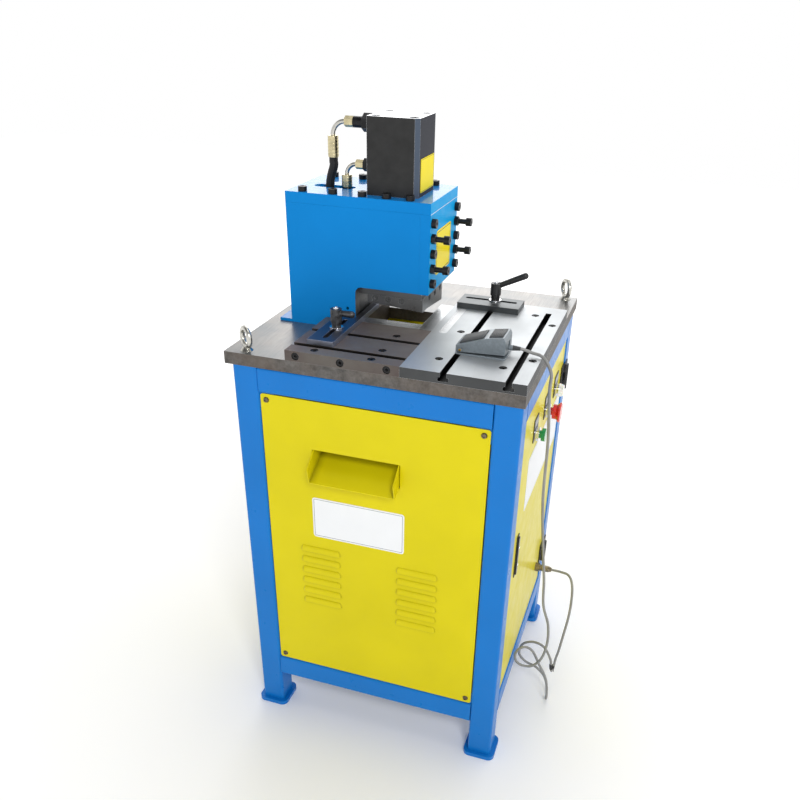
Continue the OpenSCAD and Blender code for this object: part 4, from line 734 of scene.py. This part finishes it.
class NOTCHER_OT_camera(bpy.types.Operator):
    """Sets the camera where the photograph was taken from"""

    bl_idname = "notcher.camera"
    bl_label = "Camera"

    def execute(self, context):
        data = bpy.data.cameras.new("view")
        data.sensor_width = CAMERA_SENSOR
        data.lens = CAMERA_LENS
        data.shift_x = CAMERA_SHIFT_X
        data.shift_y = CAMERA_SHIFT_Y
        data.clip_start = CAMERA_NEAR
        data.clip_end = CAMERA_FAR
        camera = bpy.data.objects.new("view", data)
        context.scene.collection.objects.link(camera)
        camera.location = CAMERA_PLACE
        camera.rotation_euler = [math.radians(angle) for angle in CAMERA_DEGREES]
        context.scene.camera = camera
        return {"FINISHED"}


# The cord from the foot switch over the table's edge, down to the floor and up to the gland
CORD_ROUTE = [
    (509, 126, 922), (515, 126, 922), (521, 126, 922), (528.8, 127, 921), (545.6, 129.3, 915.9),
    (559.5, 126.4, 914.5), (570.1, 120.7, 910.2), (578.3, 116.4, 900.8), (585.3, 116.5, 883.1),
    (584, 126, 845), (588, 155, 730), (589, 174, 590), (600, 194, 450), (609, 200, 370), (615, 200, 300),
    (631, 198, 250), (635, 196, 200), (627, 193, 152), (608, 189, 126), (586, 186, 123), (571, 184, 133),
    (566, 187, 149), (573, 193, 164), (588, 200, 168), (604, 205, 155), (620, 209, 120), (641, 208, 80),
    (648, 205, 45), (649, 208, 22), (648, 215.5, 9.4), (647, 226, 5), (646, 236.5, 9.4), (643, 244, 24),
    (632, 247, 52), (610, 246, 74), (585, 245, 84), (567, 248, 102), (572, 255, 127), (597, 255, 141),
    (624, 251, 136), (642, 246, 110), (646, 243.9, 95.8), (647.9, 243.8, 79.9), (648.9, 251.6, 67.6),
    (649.7, 262.1, 63.6), (651, 273.6, 67.6), (652.3, 283.6, 82.3), (656.2, 286.1, 104.3), (660, 291, 138),
    (666, 314, 195), (664, 350, 228), (656, 392, 236), (642.7, 422.9, 234), (624.1, 434.1, 230.5),
    (611, 436, 230), (604.75, 436, 230), (598.5, 436, 230),
]
CORD_STEPS = 8
BOOT_PLACE = (509.1, 126, 922)
BOOT_HEADING = (1, 0.02, -0.01)
BOOT_RINGS = 12
BOOT_RADIUS = 0.0052
BOOT_TAPER = 0.0014
BOOT_GROOVE = 0.0007
# The tie's middle, and the cord's points above and below it
TIE_PLACE = (647.1, 243.9, 87)
TIE_ABOVE = (646, 243.9, 95.8)
TIE_BELOW = (647.9, 243.8, 79.9)
TIE_BORE = 0.0034
TIE_RIM = 0.0041
TIE_RADIUS = 0.0044
TIE_FLAT = 0.8
# Corners of the tie's lock and loose end from its middle, and their edge radii
TIE_LOCK = ((0.0038, -0.0024, -0.0028), (0.0082, 0.0024, 0.0028), 0.0008)
TIE_TAIL = ((0.0066, -0.0012, -0.0138), (0.0076, 0.0012, 0.002), 0.0004)


class NOTCHER_OT_switch_cord(bpy.types.Operator):
    """Lays the foot switch's cord, with its strain relief and its tie"""

    bl_idname = "notcher.switch_cord"
    bl_label = "Switch Cord"

    def lay_cord(self, context, line, radius):
        """The round jacket along a line."""
        curve = bpy.data.curves.new("switch_cord", "CURVE")
        curve.dimensions = "3D"
        curve.bevel_depth = radius
        curve.bevel_resolution = 4
        curve.use_fill_caps = True
        spline = curve.splines.new("POLY")
        spline.points.add(len(line) - 1)
        for point, place in zip(spline.points, line):
            point.co = (*place, 1)
        cord = bpy.data.objects.new("switch_cord", curve)
        context.scene.collection.objects.link(cord)
        choose(cord)
        bpy.ops.object.convert(target="MESH")
        cord = context.object
        cord.name = cord.data.name = "switch_cord"
        bpy.ops.object.shade_smooth()
        return cord

    def model_boot(self, length):
        """The ribbed strain relief at the foot switch."""
        rings = [(0.0, BOOT_RADIUS)]
        for number in range(1, BOOT_RINGS + 1):
            wide = BOOT_RADIUS - BOOT_TAPER * number / BOOT_RINGS
            rings.append((number * length / BOOT_RINGS, wide if number % 2 else wide - BOOT_GROOVE))
        return turned("cord_boot", rings, at(*BOOT_PLACE), BOOT_HEADING)

    def model_tie(self, width):
        """The tie round the hanging cord, with its lock and loose end."""
        spot = at(*TIE_PLACE)
        heading = (at(*TIE_BELOW) - at(*TIE_ABOVE)).normalized()
        half = width / 2
        flat = half * TIE_FLAT
        rings = [(-half, TIE_BORE), (-half, TIE_RIM), (-flat, TIE_RADIUS)]
        rings += [(-height, radius) for height, radius in reversed(rings)]
        tie = turned("cord_tie", rings, spot - heading * half, heading)
        extras = []
        for name, (low, high, edge) in (("cord_tie_lock", TIE_LOCK), ("cord_tie_tail", TIE_TAIL)):
            extra = block(name, spot + Vector(low), spot + Vector(high))
            round_edges(extra, edge)
            extras.append(extra)
        join(*extras, tie)
        return tie

    def execute(self, context):
        sizes = context.scene.notcher_sizes
        line = smooth_route([at(*point) for point in CORD_ROUTE], CORD_STEPS)
        cord = self.lay_cord(context, line, sizes.cord_radius)
        coat(cord, "cord_jacket")
        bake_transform(cord)
        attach(cord, "machine")
        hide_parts("foot_switch_cord")
        boot = self.model_boot(sizes.boot_length)
        settle(boot, "machine", "pad_rubber")
        tie = self.model_tie(sizes.tie_width)
        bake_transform(tie)
        settle(tie, "machine", "black_plastic")
        return {"FINISHED"}


CAD_FINISHES = {
    "frame_paint": ["frame_legs", "frame_top_rails", "frame_bottom_rails", "foot_plates"],
    "head_paint": ["head_body", "end_plate", "top_cover"],
    "panel_paint": ["front_panel", "left_panel", "rear_panel", "side_door", "waste_chute"],
    "table_bright": ["right_table"],
    "table_dark": ["left_table", "hole_side_bar"],
    "blade_steel": ["lower_blade_front", "lower_blade_right", "upper_blade_front", "upper_blade_right"],
    "blade_bolts": ["blade_screws"],
    "ram_steel": ["ram", "throat_guide", "piston_rod"],
    "fence_steel": ["left_fence"],
    "stop_steel": ["right_stop"],
    "base_plate": ["base_plate"],
    "black_oxide": ["table_screws", "end_plate_bolts", "jack_screws", "jack_nuts", "cover_screws",
                    "cylinder_screws", "hose_adapters"],
    "black_enamel": ["hinge_frame_leaves", "hinge_door_leaves", "latch_handle", "right_lever"],
    "dark_lever": ["left_lever"],
    "cylinder": ["cylinder_block"],
    "zinc": ["eye_bolts", "hose_tubes"],
    "dull_zinc": ["panel_screws"],
    "warm_zinc": ["hose_fittings"],
    "chrome": ["left_clamp_bolt", "right_clamp_bolt", "operator_bodies"],
    "nickel": ["cord_gland"],
    "sheet_zinc": ["floor_tray"],
    "black_plastic": ["latch_plate", "legend_plates"],
    "hose_rubber": ["hoses"],
    "cord_jacket": ["foot_switch_cord"],
    "pale_plastic": ["electrics"],
    "lamp_lens": ["pilot_lamp"],
    "button_red": ["stop_button"],
    "button_green": ["start_button"],
    "switch_casting": ["foot_switch_base", "foot_switch_pedal"],
    "unit_paint": ["power_unit"],
    "scale_strip": ["scale_strip"],
}


class NOTCHER_OT_cad_finishes(bpy.types.Operator):
    """Gives every solid of the machine its finish"""

    bl_idname = "notcher.cad_finishes"
    bl_label = "Finishes"

    def execute(self, context):
        left = set(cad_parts)
        for look, names in CAD_FINISHES.items():
            for name in names:
                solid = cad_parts[name]
                for slot in solid.material_slots:
                    slot.material = finish(look)
                if not solid.material_slots:
                    solid.data.materials.append(finish(look))
                left.discard(name)
        if left:
            raise RuntimeError(f"solids without a finish: {sorted(left)}")
        return {"FINISHED"}


# The faces that plates lie on: Y of the front panel, and X of the door, cylinder, end plate and legends
FRONT_Y = 3
DOOR_X = 557
CYLINDER_X = 291.5
END_X = 325.5
LEGEND_X = 558.5
WIDE_BORDER = 0.003
NARROW_BORDER = 0.0015
# The border line's width as a share of the margin outside it, and the edge's radius as one of the thickness
BORDER_LINE = 0.45
PLATE_EDGE = 0.35
TO_FRONT = (0, -1, 0)
TO_RIGHT = (1, 0, 0)
TO_BACK = (0, 1, 0)
UP = (0, 0, 1)


class NOTCHER_OT_blank_plates(bpy.types.Operator):
    """Sticks the blank plates on the front panel, door, cylinder and end plate"""

    bl_idname = "notcher.blank_plates"
    bl_label = "Blank Plates"

    def execute(self, context):
        sizes = context.scene.notcher_sizes
        thick = sizes.plate_thickness / MM
        corner = sizes.plate_corner
        sticker("front_plate", at(152, FRONT_Y - thick, 506), at(348, FRONT_Y, 600), TO_FRONT, corner,
                WIDE_BORDER, "machine", "white_plate")
        sticker("door_plate", at(DOOR_X, 140, 570), at(DOOR_X + thick, 500, 690), TO_RIGHT, corner,
                WIDE_BORDER, "door", "white_plate")
        sticker("cylinder_plate", at(CYLINDER_X, 232, 1154), at(CYLINDER_X + thick, 313, 1213), TO_RIGHT,
                corner / 2, NARROW_BORDER, "machine", "yellow_plate")
        sticker("end_sign_plate", at(END_X, 234, 1004), at(END_X + thick, 330, 1088), TO_RIGHT, corner,
                WIDE_BORDER, "machine", "yellow_plate")
        return {"FINISHED"}


LEGEND_MIDDLES = (184, 297, 411)
LEGEND_HALF = 18
LEGEND_LOW = 747
LEGEND_HIGH = 762
LEGEND_THICK = 0.4
LEGEND_CORNER = 0.002
LEGEND_BORDER = 0.0008
# A screw head's heights, and its widths as shares of the screw's radius
SCREW_HEAD = ((0, 1), (0.0006, 1), (0.0014, 0.8), (0.0018, 0.45), (0.0010, 0.42), (0.0009, 0.05))
HINGE_RISES = (36, 489, 525)
# Screws: name, the first one's place, the rises of the others, body, finish and slot
SCREWS = (
    ("latch_studs", (561.3, 104, 508), (-42,), "latch", "chrome", "zinc"),
    ("hinge_screws_door", (560, 490, 217), HINGE_RISES, "door", "black_oxide", "black_oxide"),
    ("hinge_screws_frame", (563, 525, 217), HINGE_RISES, "machine", "black_oxide", "black_oxide"),
)


class NOTCHER_OT_door_details(bpy.types.Operator):
    """Adds the legend inserts, the latch studs and the hinge screws"""

    bl_idname = "notcher.door_details"
    bl_label = "Door Details"

    def execute(self, context):
        radius = context.scene.notcher_sizes.screw_radius
        for number, middle in enumerate(LEGEND_MIDDLES):
            low = at(LEGEND_X, middle - LEGEND_HALF, LEGEND_LOW)
            high = at(LEGEND_X + LEGEND_THICK, middle + LEGEND_HALF, LEGEND_HIGH)
            sticker(f"legend_insert_{number}", low, high, TO_RIGHT, LEGEND_CORNER, LEGEND_BORDER, "door",
                    "silver_plate")
        head = [(height, radius * share) for height, share in SCREW_HEAD]
        for name, place, rises, body, look, slot in SCREWS:
            screws = turned(name, head, at(*place), TO_RIGHT, sides=20)
            copies(screws, rises)
            settle(screws, body, look)
        return {"FINISHED"}


PEDAL_TOE = (410.5, 120, 926)
PEDAL_KNEE = (465.4, 120, 945)
PEDAL_HEEL = (498, 120, 950)
# Pads: name, the two ends of the slope, the shares of it where the pad starts and ends, and its ribs
PADS = (
    ("toe_pad", PEDAL_TOE, PEDAL_KNEE, 0.10, 0.90, 15),
    ("heel_pad", PEDAL_KNEE, PEDAL_HEEL, 0.14, 0.90, 7),
)
PAD_HALF = 0.0215
PAD_EDGE = 0.0002
RIB_INSET = 0.0002
RIB_HEIGHT = 0.0007


class NOTCHER_OT_pedal_pads(bpy.types.Operator):
    """Lays the two ribbed rubber pads on the pedal"""

    bl_idname = "notcher.pedal_pads"
    bl_label = "Pedal Pads"

    def execute(self, context):
        thick = context.scene.notcher_sizes.pad_thickness
        for name, low, high, start, end, ribs in PADS:
            slope = at(*high) - at(*low)
            length = slope.length * (end - start)
            pitch = length / (2 * ribs + 1)

            def rib(face):
                return face.normal.z > ALIGNED and int(face.calc_center_median().x / pitch) % 2 == 1

            piece = block(name, Vector((0, -PAD_HALF, 0)), Vector((length, PAD_HALF, thick)))
            bpy.ops.object.mode_set(mode="EDIT")
            pick(piece, "EDGE", lambda edge: reach(edge, 0) > length * ALIGNED)
            bpy.ops.mesh.subdivide(number_cuts=2 * ribs)
            pick(piece, "FACE", rib)
            bpy.ops.mesh.inset(thickness=RIB_INSET, use_individual=True)
            bpy.ops.transform.translate(value=(0, 0, RIB_HEIGHT))
            bpy.ops.object.mode_set(mode="OBJECT")
            round_edges(piece, PAD_EDGE, segments=1, angle=50)
            choose(piece)
            piece.location = at(*low) + slope * start
            piece.rotation_euler = (0, -math.atan2(slope.z, slope.x), 0)
            bpy.ops.object.transform_apply()
            settle(piece, "pedal", "pad_rubber")
        return {"FINISHED"}


CRIMP_RINGS = [(0, 0.0099), (0.0004, 0.01028), (0.0042, 0.01028), (0.0046, 0.0099)]
CRIMP_PITCH = 6.2
# Pressed rings: name, the lowest one's place, and how many there are
CRIMPS = (("upper_crimps", (105, 268, 1202), 5), ("lower_crimps", (132, 268, 1150), 3))


class NOTCHER_OT_hose_crimps(bpy.types.Operator):
    """Adds the pressed rings on the hose ends"""

    bl_idname = "notcher.hose_crimps"
    bl_label = "Hose Crimps"

    def execute(self, context):
        for name, place, count in CRIMPS:
            piece = turned(name, CRIMP_RINGS, at(*place), UP, sides=32)
            copies(piece, [CRIMP_PITCH * number for number in range(1, count)])
            settle(piece, "machine", "warm_zinc")
        return {"FINISHED"}


CAP_RINGS = [(0, 0.0052), (0.0008, 0.0052), (0.0022, 0.0046), (0.0028, 0.0034), (0.0020, 0.0026),
             (0.0012, 0.0024), (0.0011, 0.0004)]
CAPS = (
    ("left_lever_cap", (167.5, 114.5, 957), "left_lever"),
    ("right_lever_cap", (415, 381, 959), "right_lever"),
)
PIN_RINGS = [(0, 0.0026), (0.0006, 0.0026), (0.0012, 0.0020), (0.0013, 0.0004)]
PIN_NEAR = (419, 89.5, 918.5)
PIN_FAR = (419, 150.5, 918.5)
EDGE_LINE_LOW = (325.3, 193, 1125.5)
EDGE_LINE_HIGH = (325.8, 371, 1126.4)
EDGE_LINE_ROUNDING = 0.0002


class NOTCHER_OT_caps_and_pins(bpy.types.Operator):
    """Adds the caps on the lever hubs, the pins of the foot switch and a pale line along the end plate's
    top edge
    """

    bl_idname = "notcher.caps_and_pins"
    bl_label = "Caps And Pins"

    def execute(self, context):
        for name, place, body in CAPS:
            settle(turned(name, CAP_RINGS, at(*place), UP), body, "chrome")
        pins = turned("switch_pins", PIN_RINGS, at(*PIN_NEAR), TO_FRONT, sides=20)
        far = turned("switch_pin_far", PIN_RINGS, at(*PIN_FAR), TO_BACK, sides=20)
        join(far, pins)
        settle(pins, "machine", "brass")
        # A thin pale strip over the end plate's top edge, for the bright line along that edge
        edge_line = block("cover_bead", at(*EDGE_LINE_LOW), at(*EDGE_LINE_HIGH))
        round_edges(edge_line, EDGE_LINE_ROUNDING)
        settle(edge_line, "machine", "pale_plastic")
        return {"FINISHED"}


FLOOR_SIZE = 14
FLOOR_DROP = -0.0005
FLOOR_DIM = (0.96, 0.96, 0.96)
FLOOR_BRIGHT = (0.98, 0.98, 0.98)
# Ranges and the strengths at their ends: the floor's by distance, the sky's by heading and height
FLOOR_GLOW = (0.5, 3.0, 0.06, 0.5)
SKY_BACKWARD = (-0.1, 0.5, 0.15, 1.0)
SKY_UPWARD = (0.40, 0.65, 1.0, 0.0)
WHITE = (1, 1, 1, 1)
# Lights: name, place, target, width and power
LIGHTS = (
    ("key", (1.5, -2.6, 2.9), (0.0, 0.0, 0.6), 0.8, 45),
    ("top", (0.3, -0.3, 3.2), (0.0, 0.0, 0.9), 1.2, 10),
    ("sweep", (-0.6, 3.4, 2.6), (-0.2, 1.4, 0.4), 3.0, 50),
)


class NOTCHER_OT_stage(bpy.types.Operator):
    """Lays the pale floor and sets the soft studio light"""

    bl_idname = "notcher.stage"
    bl_label = "Stage"

    def lay_floor(self, context):
        """The floor, which glows more the further it is from the machine."""
        clear()
        bpy.ops.mesh.primitive_plane_add(size=FLOOR_SIZE, location=(0, 0, FLOOR_DROP))
        floor = context.object
        floor.name = floor.data.name = "floor"
        made, tree, shader, where = new_finish("floor_white", 0.0, 0.8, Specular_IOR_Level=0.0)
        feed(shader, "Base Color", blend(tree, grain(tree, where, 1.5, 2.0), FLOOR_DIM, FLOOR_BRIGHT))
        away = put(tree, "ShaderNodeVectorMath", {0: where}, operation="LENGTH").outputs["Value"]
        feed(shader, "Emission Strength", spread(tree, away, *FLOOR_GLOW))
        floor.data.materials.append(made)

    def light_sky(self, scene):
        """The white world, dimmer high up on the camera's side."""
        world = bpy.data.worlds.new("studio")
        world.use_nodes = True
        tree = world.node_tree
        shader = tree.nodes["Background"]
        shader.inputs["Color"].default_value = WHITE
        heading = axes(tree, put(tree, "ShaderNodeTexCoord").outputs["Generated"])
        backward = spread(tree, heading["Y"], *SKY_BACKWARD)
        upward = spread(tree, heading["Z"], *SKY_UPWARD)
        feed(shader, "Strength", maths(tree, "MAXIMUM", backward, upward))
        scene.world = world

    def execute(self, context):
        scene = context.scene
        self.lay_floor(context)
        self.light_sky(scene)
        for name, place, target, width, power in LIGHTS:
            data = bpy.data.lights.new(name, "AREA")
            data.shape = "SQUARE"
            data.size = width
            data.energy = power
            lamp = bpy.data.objects.new(name, data)
            lamp.location = place
            lamp.rotation_euler = (Vector(target) - Vector(place)).to_track_quat("-Z", "Y").to_euler()
            lamp.visible_camera = False
            scene.collection.objects.link(lamp)
        scene.view_settings.view_transform = "Standard"
        return {"FINISHED"}


class NOTCHER_PT_panel(bpy.types.Panel):
    """Shows a button for each step, and the sizes and colours"""

    bl_idname = "NOTCHER_PT_panel"
    bl_label = "Corner Notcher"
    bl_space_type = "VIEW_3D"
    bl_region_type = "UI"
    bl_category = "Notcher"

    def draw(self, context):
        layout = self.layout
        for step in STEPS:
            layout.operator(step.bl_idname)
        for group in (context.scene.notcher_sizes, context.scene.notcher_colours):
            for key in group.bl_rna.properties.keys():
                if key not in ("rna_type", "name"):
                    layout.prop(group, key)


STEPS = [NOTCHER_OT_camera, NOTCHER_OT_switch_cord, NOTCHER_OT_cad_finishes, NOTCHER_OT_blank_plates,
         NOTCHER_OT_door_details, NOTCHER_OT_pedal_pads, NOTCHER_OT_hose_crimps, NOTCHER_OT_caps_and_pins,
         NOTCHER_OT_stage]
CLASSES = [NotcherSizes, NotcherColours, *STEPS, NOTCHER_PT_panel]


def register():
    """Registers the classes and their settings."""
    for item in CLASSES:
        bpy.utils.register_class(item)
    bpy.types.Scene.notcher_sizes = bpy.props.PointerProperty(type=NotcherSizes)
    bpy.types.Scene.notcher_colours = bpy.props.PointerProperty(type=NotcherColours)


def unregister():
    """Takes the settings and classes away again."""
    del bpy.types.Scene.notcher_colours
    del bpy.types.Scene.notcher_sizes
    for item in reversed(CLASSES):
        bpy.utils.unregister_class(item)


def main():
    """Builds the whole scene."""
    register()
    for step in STEPS:
        area, name = step.bl_idname.split(".")
        if getattr(getattr(bpy.ops, area), name)() != {"FINISHED"}:
            raise RuntimeError(f"{step.bl_idname} did not finish")


if __name__ == "__main__":
    main()
